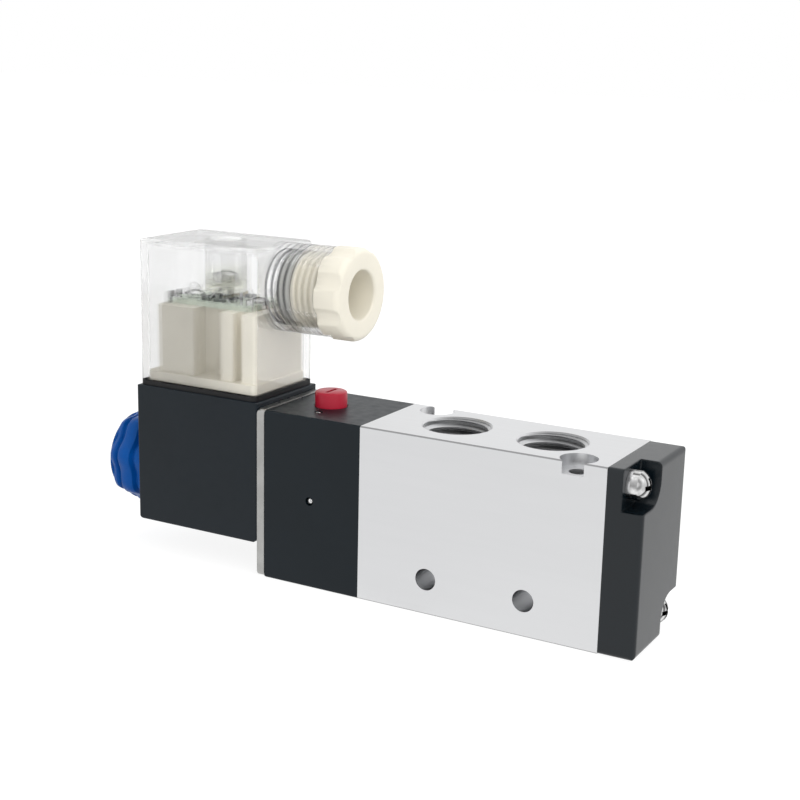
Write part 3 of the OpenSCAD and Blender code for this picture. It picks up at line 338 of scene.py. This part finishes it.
def surface(name, colour, rough, tint=0.06, tint_scale=90, rough_spread=0.04, rough_scale=600,
            grain=0.0, grain_scale=6000, stretch=(1, 1, 1), edge=0.12 * MM, bands=(), slant=1.0,
            hollow=0.0, fade_x=(), sockets=()):
    """Material with its colour, roughness and relief varied by noise, and softly worn edges.

    tint, rough_spread and grain are the strengths of the noise, and each has its scale. bands are
    painted reflections and shade, grey levels by the angle of view; slant is the level of the shade
    painted on leaning faces, and hollow is how far the shade painted in a recess reaches. fade_x has
    two places along X and the level of the shade painted before the first.
    """
    material = bpy.data.materials.new(name)
    material.use_nodes = True
    tree = material.node_tree
    shader = tree.nodes["Principled BSDF"]
    for socket, value in dict(sockets).items():
        shader.inputs[socket].default_value = value
    coordinates = tree.nodes.new("ShaderNodeTexCoord")
    mapping = tree.nodes.new("ShaderNodeMapping")
    mapping.inputs["Scale"].default_value = stretch
    tree.links.new(coordinates.outputs["Object"], mapping.inputs["Vector"])
    place = mapping.outputs["Vector"]

    patches = spread(tree, noise(tree, place, tint_scale, 4), 0, 1)
    darker = [c * (1 - tint) for c in colour]
    paler = [min(1, c * (1 + tint)) for c in colour]
    tone = blend_colours(tree, patches, darker, paler)
    # Painted reflections and shade: the colour changes with the angle of view.
    if bands:
        tone = multiply_colours(tree, tone, facing_bands(tree, bands))
    # Painted shade: leaning faces, such as chamfers and thread flanks, are darkened as a painted
    # dark reflection.
    if slant < 1:
        tone = shade(tree, tone, slanting_faces(tree), WHITE, grey(slant))
    # Painted shade: darker deep in the object's own recesses.
    if hollow:
        tone = shade(tree, tone, hollows(tree, hollow), grey(RECESS_LEVEL), WHITE)
    # Painted shade: darker towards -X, lighter towards +X where the light falls.
    if fade_x:
        low_x, high_x, level = fade_x
        tone = shade(tree, tone, along(tree, "X", low_x, high_x), grey(level), WHITE)
    tree.links.new(tone, shader.inputs["Base Color"])

    smudges = noise(tree, place, rough_scale, 3)
    roughness = spread(tree, smudges, rough - rough_spread, rough + rough_spread)
    tree.links.new(roughness, shader.inputs["Roughness"])
    relief = worn_relief(tree, place, grain, grain_scale, edge)
    tree.links.new(relief, shader.inputs["Normal"])
    return material


def metal(name, colour, rough, **options):
    """Bare metal."""
    return surface(name, colour, rough, sockets={"Metallic": 1.0}, **options)


def plastic(name, colour, rough, shine=0.5, **options):
    """Moulded plastic or rubber."""
    return surface(name, colour, rough, sockets={"Specular IOR Level": shine}, **options)


def clear_surface(name, colour, rough, alpha=(0.3, 0.9), bands=(), ior=1.35, foot=(), rim=()):
    """Clear moulded plastic, greyer where it is seen edge on, that lets lamps through.

    alpha is its density face on and edge on, and its grey edge on is a painted shade. foot has a
    colour for the low part and two heights that it fades between. With rim, the corners and edge
    widths of a box, it has a painted grey shade where the walls of the box meet, and is denser where
    they are seen through their length.
    """
    material = surface(name, colour, rough, tint=0.01, rough_spread=0.01, rough_scale=300,
                       grain=0.01, grain_scale=900, edge=0, bands=bands,
                       sockets={"Transmission Weight": 1.0, "IOR": ior})
    tree = material.node_tree
    shader = tree.nodes["Principled BSDF"]
    tone = shader.inputs["Base Color"].links[0].from_socket
    density = rises_edge_on(tree, *alpha)
    if rim:
        edges = box_edges(tree, *rim)
        edge_density = combine_values(tree, "MULTIPLY", edges, EDGE_DENSITY)
        density = combine_values(tree, "MAXIMUM", density, edge_density)
        # Painted shade: grey where the walls of the box meet.
        tone = shade(tree, tone, edges, WHITE, EDGE_COLOUR)
    if foot:
        foot_colour, low_z, high_z = foot
        tone = shade(tree, tone, along(tree, "Z", low_z, high_z), foot_colour, WHITE)
    tree.links.new(tone, shader.inputs["Base Color"])
    tree.links.new(density, shader.inputs["Alpha"])

    shadow_ray = tree.nodes.new("ShaderNodeLightPath").outputs["Is Shadow Ray"]
    pane = tree.nodes.new("ShaderNodeBsdfTransparent")
    pane.inputs["Color"].default_value = (*grey(LAMP_SHARE), 1)
    mixed = mix_shaders(tree, shadow_ray, shader.outputs["BSDF"], pane.outputs["BSDF"])
    tree.links.new(mixed, tree.nodes["Material Output"].inputs["Surface"])
    return material


# Materials

def housing_rim():
    """Corners of the clear cover without its neck, and the widths of the grey shade painted on its
    edges.
    """
    low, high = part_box("connector_housing")
    shoulder_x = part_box("connector_gasket")[1].x
    widths = (0.45 * MM, 0.45 * MM, 1.3 * MM)
    return low, Vector((shoulder_x, high.y, high.z)), widths


def make_materials():
    """One material for each of the record's slots, and for each clear piece with its own look."""
    drawn = (0.04, 1, 1)
    # Grey levels by view angle: painted reflections on the chrome screws and the turned metal, and
    # painted shade on the edges of clear plastic.
    polished = ((0, 0.9), (0.05, 0.5), (0.12, 0.95), (0.24, 0.9), (0.3, 0.1), (0.38, 0.5),
                (0.45, 0.95), (0.58, 0.7), (0.66, 0.08), (0.8, 0.85), (1, 0.5))
    turned = ((0, 0.9), (0.35, 1), (0.55, 0.45), (0.75, 0.9), (1, 0.8))
    glassy = ((0, 1), (0.45, 0.98), (0.7, 0.72), (0.85, 0.3), (1, 0.15))
    return {
        # Satin aluminium; its chamfers and thread flanks get a painted dark reflection, 0.45 of its
        # colour.
        "aluminium": metal("satin_aluminium", (0.745, 0.75, 0.76), 0.34, tint=0.015, tint_scale=40,
                           rough_scale=1500, grain=0.04, grain_scale=9000, stretch=drawn,
                           edge=0.03 * MM, slant=0.45),
        "black_plastic": plastic("black_moulding", (0.002, 0.0065, 0.0105), 0.4, 0.27, tint=0.08,
                                 grain=0.1, grain_scale=5200),
        "cap_plastic": plastic("cap_moulding", (0.003, 0.0065, 0.0095), 0.22, 0.42,
                               rough_spread=0.02, grain=0.03, grain_scale=4200, edge=0.5 * MM),
        "coil_plastic": plastic("coil_resin", (0.004, 0.0085, 0.013), 0.44, 0.28, tint=0.08,
                                grain=0.1, grain_scale=4600),
        "rubber": plastic("black_rubber", (0.012, 0.012, 0.013), 0.6, 0.3, tint=0.2, grain=0.2),
        "gasket_rubber": plastic("gasket", (0.008, 0.008, 0.009), 0.5, 0.3, tint=0.2, grain=0.1),
        "plated_steel": metal("zinc_plate", (0.42, 0.42, 0.41), 0.3, tint=0.14, tint_scale=180,
                              grain=0.05, edge=0.2 * MM),
        # Bright screws: painted reflections by the angle of view, and painted shade in their cross
        # recesses.
        "screw_steel": metal("bright_screw", (0.75, 0.75, 0.75), 0.15, tint=0.5, tint_scale=620,
                             grain=0.9, grain_scale=900, edge=0.05 * MM, bands=polished,
                             hollow=1.6 * MM),
        "spring_steel": metal("spring_wire", (0.66, 0.66, 0.67), 0.22, tint=0.08, grain=0.05,
                              bands=turned),
        "spool_aluminium": metal("turned_spool", (0.68, 0.69, 0.72), 0.22, tint=0.04, grain=0.04,
                                 bands=turned),
        "stainless": metal("stainless", (0.62, 0.61, 0.6), 0.25, tint=0.05, grain=0.05,
                           bands=turned),
        "brass": metal("brass", (0.72, 0.52, 0.22), 0.25, grain=0.04, bands=turned),
        "piston_plastic": plastic("acetal", (0.6, 0.58, 0.52), 0.45, tint=0.04, grain=0.05),
        "red_plastic": plastic("red_button", (0.42, 0.008, 0.03), 0.32, 0.36, grain=0.03,
                               edge=0.25 * MM),
        "blue_plastic": plastic("blue_nut", (0.001, 0.072, 0.31), 0.34, 0.13, grain=0.03,
                                edge=0.2 * MM),
        "bobbin_plastic": plastic("bobbin", (0.56, 0.54, 0.46), 0.5, tint=0.05, grain=0.05),
        "copper": metal("winding", (0.66, 0.3, 0.14), 0.3, tint=0.1, grain=0.3, grain_scale=4000,
                        stretch=(1, 0.05, 0.05)),
        "tinned_brass": metal("tinned_brass", (0.7, 0.69, 0.63), 0.25, tint=0.08, grain=0.05,
                              bands=turned),
        "clear_plastic": clear_surface("clear_housing", (0.86, 0.865, 0.865), 0.03, bands=glassy,
                                       rim=housing_rim()),
        # Clear well wall: painted edge shade by the angle of view; its foot fades to cream.
        "well_plastic": clear_surface("clear_well", (1.0, 1.0, 0.995), 0.1, alpha=(0.75, 0.85),
                                      bands=((0, 0.97), (0.5, 1), (0.75, 0.95), (1, 0.7)),
                                      ior=1.05, foot=((0.9, 0.91, 0.82), 57 * MM, 62 * MM)),
        # Neck thread ridges: clear plastic coloured with painted shade, near black at the root and
        # grey at the mouth.
        "root_thread": clear_surface("root_thread", (0.09, 0.09, 0.1), 0.05, alpha=(0.85, 0.95),
                                     bands=((0, 1), (0.5, 0.8), (1, 0.4)), ior=1.05),
        "mouth_thread": clear_surface("mouth_thread", grey(0.74), 0.05, alpha=(0.6, 0.8),
                                      bands=((0, 1), (0.5, 0.9), (1, 0.6)), ior=1.05),
        # Ivory block with painted shade: 0.64 of its colour towards -X, full towards +X where the
        # light falls.
        "ivory_plastic": plastic("ivory_block", (0.86, 0.82, 0.715), 0.45, tint=0.04,
                                 tint_scale=140, grain=0.06, fade_x=(-67 * MM, -54 * MM, 0.64)),
        "cream_plastic": plastic("cream_nut", (0.82, 0.78, 0.67), 0.4, 0.3, tint=0.02,
                                 tint_scale=140, grain=0.04, edge=0.4 * MM),
        "board": plastic("board_laminate", (0.5, 0.56, 0.48), 0.35, tint=0.15, tint_scale=700,
                         grain=0.05),
        "led_lens": clear_surface("lamp_lens", (0.85, 0.86, 0.85), 0.05, alpha=(0.15, 0.6),
                                  ior=1.2),
        "resistor": plastic("resistor_body", (0.5, 0.42, 0.28), 0.35, tint=0.1, grain=0.05),
        "grommet_rubber": plastic("grommet", (0.6, 0.6, 0.57), 0.5, grain=0.08),
    }


def dress_nodes(materials):
    """Gives every CAD node the material of its slot."""
    for name, node in frame["nodes"].items():
        material = materials[MATERIAL_SLOTS[name]]
        if not node.material_slots:
            node.data.materials.append(material)
        for slot in node.material_slots:
            slot.material = material


# Mesh helpers

def add_piece(name, mesh, body, slot, materials, look=None):
    """Links a mesh as a piece that rides on a body, with its slot's material or another look."""
    piece = bpy.data.objects.new(name, mesh)
    bpy.context.scene.collection.objects.link(piece)
    mesh.materials.clear()
    mesh.materials.append(materials[look or slot])
    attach(piece, body)
    return piece


def smooth(mesh, angle):
    """Smooth shading with sharp edges over an angle in degrees."""
    mesh.polygons.foreach_set("use_smooth", [True] * len(mesh.polygons))
    mesh.set_sharp_from_angle(angle=math.radians(angle))


def evaluated(holder):
    """Mesh of an object with its modifiers applied; the object goes."""
    view = bpy.context.evaluated_depsgraph_get()
    mesh = bpy.data.meshes.new_from_object(holder.evaluated_get(view))
    bpy.data.objects.remove(holder)
    return mesh


def smooth_weighted(mesh, angle):
    """Smooth shading that keeps large flat faces flat."""
    smooth(mesh, angle)
    holder = bpy.data.objects.new("holder", mesh)
    bpy.context.scene.collection.objects.link(holder)
    step = holder.modifiers.new("normals", "WEIGHTED_NORMAL")
    step.keep_sharp = True
    return evaluated(holder)


def cut(mesh, cutter):
    """Mesh of one closed mesh less another."""
    target = bpy.data.objects.new("target", mesh)
    tool = bpy.data.objects.new("tool", cutter)
    for item in (target, tool):
        bpy.context.scene.collection.objects.link(item)
    step = target.modifiers.new("boolean", "BOOLEAN")
    step.operation = "DIFFERENCE"
    step.solver = "MANIFOLD"
    step.object = tool
    result = evaluated(target)
    bpy.data.objects.remove(tool)
    return result


def closed_mesh(form, name, angle=None):
    """Mesh of a closed form with its faces turned outwards, smooth up to an angle if it is given."""
    bmesh.ops.recalc_face_normals(form, faces=form.faces)
    mesh = bpy.data.meshes.new(name)
    form.to_mesh(mesh)
    form.free()
    if angle:
        smooth(mesh, angle)
    return mesh


def bridge(form, rings, closed=False):
    """Adds the faces between neighbouring rings of vertices, and from last to first if closed."""
    following = rings[1:] + rings[:1] if closed else rings[1:]
    for near, far in zip(rings, following):
        for i in range(len(near)):
            j = (i + 1) % len(near)
            form.faces.new((near[i], near[j], far[j], far[i]))


def add_block(form, low, high):
    """Adds a block between two corners and returns its vertices."""
    made = bmesh.ops.create_cube(form, size=1)["verts"]
    for vert in made:
        vert.co = Vector([lo + (c + 0.5) * (hi - lo) for c, lo, hi in zip(vert.co, low, high)])
    return made


def axis_place(at, axis):
    """Matrix that stands +Z along an axis at a point."""
    return Matrix.Translation(at) @ Vector(axis).to_track_quat("Z", "Y").to_matrix().to_4x4()


def helix_mesh(name, place, base_r, tip_r, pitch, length, base_w, tip_w):
    """Closed helical ridge about the place matrix's Z, from its origin up, fading at its ends."""
    fade_start, fade_per_turn, least_width = 0.04, 1.6, 0.3
    turns = length / pitch
    section = [(0, -base_w / 2), (1, -tip_w / 2), (1, tip_w / 2), (0, base_w / 2)]
    form = bmesh.new()
    rings = []
    for step in range(round(turns * THREAD_STEPS) + 1):
        turned = step / THREAD_STEPS
        fade = min(1, fade_start + turned * fade_per_turn,
                   fade_start + (turns - turned) * fade_per_turn)
        angle = TAU * turned
        ring = []
        for depth, z in section:
            r = base_r + (tip_r - base_r) * depth * fade
            height = pitch * turned + z * max(fade, least_width)
            at = Vector((r * math.cos(angle), r * math.sin(angle), height))
            ring.append(form.verts.new(place @ at))
        rings.append(ring)
    bridge(form, rings)
    form.faces.new(rings[0])
    form.faces.new(rings[-1])
    return closed_mesh(form, name, 35)


def lathe_mesh(name, place, profile, lobes=0, dip=0.0, lobed_from=0.0):
    """Closed turned form about the place matrix's Z, from (z, r) points in mm, first and last on it.

    Points beyond the radius lobed_from are drawn in by up to dip between the lobes.
    """
    form = bmesh.new()
    rings = []
    for step in range(LATHE_STEPS):
        turn = TAU * step / LATHE_STEPS
        drawn_in = dip * (1 - math.cos(lobes * turn)) / 2
        ring = []
        for z, r in profile[1:-1]:
            out = r - (drawn_in if r > lobed_from else 0)
            at = Vector((out * math.cos(turn), out * math.sin(turn), z)) * MM
            ring.append(form.verts.new(place @ at))
        rings.append(ring)
    ends = [form.verts.new(place @ (Vector((0, 0, profile[i][0])) * MM)) for i in (0, -1)]
    for near, far in zip(rings, rings[1:] + rings[:1]):
        form.faces.new((ends[0], near[0], far[0]))
        form.faces.new((ends[1], far[-1], near[-1]))
        for i in range(len(near) - 1):
            form.faces.new((near[i], near[i + 1], far[i + 1], far[i]))
    return closed_mesh(form, name, 35)


def ring_mesh(name, at, in_r, out_r, height):
    """Upright tube with softened rims, standing on a point."""
    soft = 0.2 * (out_r - in_r)
    section = [(in_r, soft), (in_r + soft, 0), (out_r - soft, 0), (out_r, soft),
               (out_r, height - soft), (out_r - soft, height), (in_r + soft, height),
               (in_r, height - soft)]
    form = bmesh.new()
    rings = []
    for step in range(THREAD_STEPS):
        angle = TAU * step / THREAD_STEPS
        turn = Vector((math.cos(angle), math.sin(angle), 0))
        rings.append([form.verts.new(at + r * turn + Vector((0, 0, z))) for r, z in section])
    bridge(form, rings, closed=True)
    return closed_mesh(form, name, 30)


def box_mesh(name, low, high):
    """Plain box, used only as a cutter."""
    form = bmesh.new()
    add_block(form, low, high)
    return closed_mesh(form, name)


def welded_copy(node):
    """Copy of a CAD node's mesh with its split corners joined."""
    form = bmesh.new()
    form.from_mesh(frame["nodes"][node].data)
    bmesh.ops.remove_doubles(form, verts=form.verts, dist=1e-7)
    return closed_mesh(form, node + "_copy")


# Threads

def add_port_threads(materials):
    """Internal threads of the five air ports, from each mouth on."""
    lead_in = 0.4 * MM
    low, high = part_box("valve_body")
    for name, pitch in (
        ("outlet_port_a", PORT_PITCH), ("outlet_port_b", PORT_PITCH), ("supply_port", PORT_PITCH),
        ("exhaust_port_1", EXHAUST_PITCH), ("exhaust_port_2", EXHAUST_PITCH),
    ):
        mount = MOUNTS[name]
        outward = Vector(mount["axis"])
        bore_r = mount["dims"]["r_mm"] * MM
        depth = mount["dims"]["length_mm"] * MM
        start = Vector(mount["pos_m"])
        start.z = high.z - lead_in if outward.z > 0 else low.z + lead_in
        mesh = helix_mesh(name + "_thread", axis_place(start, -outward),
                          base_r=bore_r + RIDGE_BITE, tip_r=bore_r - 0.6 * pitch, pitch=pitch,
                          length=depth - 2 * lead_in, base_w=0.97 * pitch, tip_w=0.2 * pitch)
        add_piece(name + "_thread", mesh, "valve", "aluminium", materials)


def gland_helix(name, start_x, length, base_w, tip_w, depth, grow=0.0):
    """Helix of the gland's thread, inwards from a place along the neck; its turns match everywhere.

    Widths and depth are shares of the pitch, and grow widens and deepens the ridge.
    """
    low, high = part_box("gland_nut")
    origin = Vector((0, 0, (low.z + high.z) / 2))
    turned = Matrix.Rotation(-TAU * start_x / GLAND_PITCH, 4, "Z")
    place = axis_place(origin + Vector((start_x, 0, 0)), (-1, 0, 0)) @ turned
    return helix_mesh(name, place, base_r=GLAND_BORE_R + RIDGE_BITE,
                      tip_r=GLAND_BORE_R - depth * GLAND_PITCH - grow, pitch=GLAND_PITCH,
                      length=length, base_w=base_w * GLAND_PITCH + 2 * grow,
                      tip_w=tip_w * GLAND_PITCH + 2 * grow)


def neck_thread_start():
    """Place along X where the neck's thread begins."""
    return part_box("connector_housing")[1].x - NECK_CHAMFER


def add_neck_thread(materials):
    """Internal thread of the clear neck, coloured with painted shade for the light its ridges bend:
    dark lines at its root, pale ones over the gland nut.
    """
    past_case = 1.0 * MM
    mouth = neck_thread_start()
    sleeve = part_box("gland_nut")[0].x
    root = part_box("coil_case")[1].x - past_case
    for name, start, end in (("mouth_thread", mouth, sleeve), ("root_thread", sleeve, root)):
        mesh = gland_helix(name, start, start - end, base_w=0.2, tip_w=0.08, depth=0.28)
        add_piece("neck_" + name, mesh, "coil", "clear_plastic", materials, look=name)


def add_gland_nut(materials):
    """Gland nut with the thread cut into its sleeve."""
    run_out = 1.5 * MM
    mouth = neck_thread_start()
    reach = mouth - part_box("gland_nut")[0].x + run_out
    groove = gland_helix("sleeve_groove", mouth, reach, base_w=0.75, tip_w=0.15, depth=0.55,
                         grow=0.08 * MM)
    mesh = smooth_weighted(cut(welded_copy("gland_nut"), groove), 28)
    piece = add_piece("gland_nut_threaded", mesh, "gland_nut", "cream_plastic", materials)
    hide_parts("gland_nut")


def add_stud_thread(materials):
    """Thread cut into the stud that the blue nut screws onto."""
    lead_in = 0.3 * MM
    stud_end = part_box("fixed_core")[0].x
    nut_low, nut_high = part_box("coil_nut")
    start = Vector((stud_end + lead_in, 0, (nut_low.z + nut_high.z) / 2))
    groove = helix_mesh("stud_groove", axis_place(start, (1, 0, 0)), base_r=4.15 * MM,
                        tip_r=3.45 * MM, pitch=STUD_PITCH, length=5.6 * MM,
                        base_w=0.9 * STUD_PITCH, tip_w=0.15 * STUD_PITCH)
    mesh = cut(welded_copy("fixed_core"), groove)
    smooth(mesh, 30)
    piece = add_piece("fixed_core_threaded", mesh, "valve", MATERIAL_SLOTS["fixed_core"], materials)
    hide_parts("fixed_core")


# Turned pieces

def add_well(materials):
    """Tinted wall of the clear cover's screw well."""
    in_r, out_r = 3.5 * MM, 4.1 * MM
    overlap = 4.0 * MM
    low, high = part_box("cover_screw")
    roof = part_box("connector_housing")[1].z - 1.2 * MM
    middle = (low + high) / 2
    foot = Vector((middle.x, middle.y, high.z - overlap))
    mesh = ring_mesh("well_wall", foot, in_r, out_r, roof - high.z + overlap)
    add_piece("well_wall", mesh, "coil", "clear_plastic", materials, look="well_plastic")


def nut_profile(length, rim_r):
    """Half outline of the blue nut in mm, as (z, r) points from its free end round to its bore."""
    free_end = [(0, 0), (0, 7.2), (0.25, 7.6), (0.25, 8.3), (0, 8.8), (0.35, 9.3), (0.9, 9.75),
                (1.6, 9.9)]
    first_groove = [(1.9, 9.6), (2.1, 9.25), (2.6, 9.25), (2.9, 9.6)]
    rim = [(3.1, 10.2), (3.5, rim_r), (5.6, rim_r), (6, 10.2)]
    second_groove = [(6.2, 9.6), (6.4, 9.2), (6.9, 9.2)]
    from_free_end = free_end + first_groove + rim + second_groove
    foot = [(2.3, 9.5), (2, 9.95), (0.4, 9.95), (0, 9.6)]
    seal_seat = [(0, 6.7), (1.2, 6.7), (1.2, 5.3), (0, 5.3)]
    bore = [(0, 4.5), (0.4, 4.1), (6.6, 4.1), (6.6, 0)]
    return [(length - z, r) for z, r in from_free_end] + foot + seal_seat + bore


def add_coil_nut(materials):
    """Blue nut with soft lobes, its two grooves and the seat of its seal ring."""
    low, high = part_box("coil_nut")
    profile = nut_profile((high.x - low.x) / MM, (high.y - low.y) / 2 / MM)
    foot = Matrix.Translation((high.x, 0, (low.z + high.z) / 2))
    to_free_end = Matrix(((0, 0, -1), (-1, 0, 0), (0, 1, 0))).to_4x4()
    place = foot @ to_free_end @ Matrix.Rotation(NUT_TURN, 4, "Z")
    mesh = lathe_mesh("coil_nut_lobed", place, profile, NUT_LOBES, LOBE_DEPTH, lobed_from=9)
    piece = add_piece("coil_nut_lobed", mesh, "coil_nut", "blue_plastic", materials)
    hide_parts("coil_nut")


def add_button(materials):
    """Override button with a softened rim and a short, fine screwdriver slot."""
    socket_r, socket_depth = 1.55, 3.5
    slot_half_w, slot_half_l, slot_depth = 0.35 * MM, 1.95 * MM, 0.7 * MM
    low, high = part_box("override_button")
    h = (high.z - low.z) / MM
    r = (high.x - low.x) / 2 / MM
    profile = [(socket_depth, 0), (socket_depth, socket_r), (0, socket_r), (0, r - 0.15),
               (0.15, r), (h - 0.45, r), (h - 0.15, r - 0.1), (h, r - 0.35), (h, 0)]
    at = Vector(((low.x + high.x) / 2, 0, low.z))
    body = lathe_mesh("button_body", Matrix.Translation(at), profile)
    slot = box_mesh("slot", Vector((at.x - slot_half_w, -slot_half_l, high.z - slot_depth)),
                    Vector((at.x + slot_half_w, slot_half_l, high.z + 1 * MM)))
    mesh = cut(body, slot)
    smooth(mesh, 35)
    piece = add_piece("button_slotted", mesh, "override_button", "red_plastic", materials)
    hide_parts("override_button")


# Springs

def add_springs(materials):
    """Springs as pieces of their own on the valve body, in place of the CAD springs."""
    for node, joint in (("return_spring", "spool_slide"), ("armature_spring", "armature_slide"),
                        ("override_spring", "override_push")):
        mesh = frame["nodes"][node].data.copy()
        piece = add_piece(node + "_coils", mesh, "valve", MATERIAL_SLOTS[node], materials)
        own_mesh(piece)
        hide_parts(node)


# Parts of the indicator board

def soft_block(form, x, y, width, depth, low_z, high_z):
    """Adds a block with softened edges about a place; all in mm."""
    low = Vector((x - width / 2, y - depth / 2, low_z)) * MM
    high = Vector((x + width / 2, y + depth / 2, high_z)) * MM
    made = add_block(form, low, high)
    edges = list(dict.fromkeys(edge for vert in made for edge in vert.link_edges))
    soft = 0.16 * min(hi - lo for lo, hi in zip(low, high))
    bmesh.ops.bevel(form, geom=edges, offset=soft, segments=2, affect="EDGES", profile=0.5)


def bent_wire(form, points, r):
    """Adds a closed round wire through points."""
    angles = [TAU * k / WIRE_SIDES for k in range(WIRE_SIDES, 0, -1)]
    section = [Vector((r * math.cos(angle), r * math.sin(angle), 0)) for angle in angles]
    rings = []
    for i, point in enumerate(points):
        ahead = (points[min(i + 1, len(points) - 1)] - points[max(i - 1, 0)]).normalized()
        turn = ahead.to_track_quat("Z", "Y")
        rings.append([form.verts.new(point + turn @ at) for at in section])
    bridge(form, rings)
    form.faces.new(rings[0])
    form.faces.new(rings[-1])


def add_board_parts(materials):
    """Small parts and leads that crowd the indicator board under the clear cover."""
    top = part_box("indicator_board")[1].z / MM
    chips = bmesh.new()
    for x, y, width, depth, height in BOARD_CHIPS:
        soft_block(chips, x, y, width, depth, top - CHIP_SINK, top + height)
    leads = bmesh.new()
    for x, y, width, depth, height in BOARD_PINS:
        soft_block(leads, x, y, width, depth, PIN_FOOT_Z, PIN_FOOT_Z + height)
    for points in BOARD_LEADS:
        path = [Vector((x, y, top + z - LEAD_SINK)) * MM for x, y, z in points]
        bent_wire(leads, path, LEAD_R)
    for name, form, slot in (("board_chips", chips, "black_plastic"),
                             ("board_leads", leads, "screw_steel")):
        add_piece(name, closed_mesh(form, name, 40), "coil", slot, materials)


# Surroundings

def make_world():
    """White surroundings as the camera and reflections see them, and a softer light elsewhere."""
    world = bpy.data.worlds.new("surroundings")
    bpy.context.scene.world = world
    world.use_nodes = True
    tree = world.node_tree
    seen = tree.nodes["Background"]
    light = tree.nodes.new("ShaderNodeBackground")
    for node, strength in ((seen, SURROUND), (light, SKY_LIGHT)):
        node.inputs["Color"].default_value = (*WHITE, 1)
        node.inputs["Strength"].default_value = strength
    mixed = mix_shaders(tree, seen_directly(tree), light.outputs["Background"],
                        seen.outputs["Background"])
    tree.links.new(mixed, tree.nodes["World Output"].inputs["Surface"])


def dull_shader(tree, level):
    """Dull grey paint."""
    node = tree.nodes.new("ShaderNodeBsdfDiffuse")
    node.inputs["Color"].default_value = (*grey(level), 1)
    return node.outputs["BSDF"]


def glow_shader(tree, strength):
    """White glow."""
    node = tree.nodes.new("ShaderNodeEmission")
    node.inputs["Strength"].default_value = strength
    return node.outputs["Emission"]


def floor_material():
    """Looks white with a soft shadow, bounces light as pale paint, and is white in reflections."""
    material = bpy.data.materials.new("pale_floor")
    material.use_nodes = True
    tree = material.node_tree
    tree.nodes.remove(tree.nodes["Principled BSDF"])
    both = tree.nodes.new("ShaderNodeAddShader")
    tree.links.new(dull_shader(tree, FLOOR_PAINT), both.inputs[0])
    tree.links.new(glow_shader(tree, FLOOR_GLOW), both.inputs[1])
    seen = mix_shaders(tree, seen_directly(tree), dull_shader(tree, FLOOR_BOUNCE),
                       both.outputs["Shader"])
    glossy_ray = tree.nodes.new("ShaderNodeLightPath").outputs["Is Glossy Ray"]
    mixed = mix_shaders(tree, glossy_ray, seen, glow_shader(tree, FLOOR_MIRROR))
    tree.links.new(mixed, tree.nodes["Material Output"].inputs["Surface"])
    return material


def make_floor():
    """Wide flat floor just under the object."""
    mesh = bpy.data.meshes.new("floor")
    h = FLOOR_SIZE / 2
    mesh.from_pydata([(-h, -h, 0), (h, -h, 0), (h, h, 0), (-h, h, 0)], [], [(0, 1, 2, 3)])
    mesh.materials.append(floor_material())
    floor = bpy.data.objects.new("floor", mesh)
    bpy.context.scene.collection.objects.link(floor)
    floor.location.z = -FLOOR_GAP


def add_lamp(name, at, size, power):
    """Soft square lamp aimed at the middle of the object, that leaves no glare on metal."""
    data = bpy.data.lights.new(name, "AREA")
    data.shape = "SQUARE"
    data.size = size
    data.energy = power
    lamp = bpy.data.objects.new(name, data)
    bpy.context.scene.collection.objects.link(lamp)
    lamp.location = at
    lamp.visible_glossy = False
    lamp.rotation_mode = "QUATERNION"
    lamp.rotation_quaternion = (LAMP_TARGET - Vector(at)).to_track_quat("-Z", "Y")


def make_lamps():
    """One lamp high behind the object, and one at its right."""
    add_lamp("key_lamp", at=(0.1, 0.3, 0.8), size=1.0, power=2.8)
    add_lamp("side_lamp", at=(0.6, -0.5, 0.46), size=0.9, power=3.2)


scene = bpy.context.scene
scene.view_settings.view_transform = "Standard"
scene.cycles.use_denoising = True
scene.cycles.max_bounces = 24
scene.cycles.transmission_bounces = 20
scene.cycles.transparent_max_bounces = 20

make_camera()
made = make_materials()
dress_nodes(made)
add_port_threads(made)
add_neck_thread(made)
add_well(made)
add_coil_nut(made)
add_button(made)
add_stud_thread(made)
add_springs(made)
add_board_parts(made)
add_gland_nut(made)
make_world()
make_floor()
make_lamps()
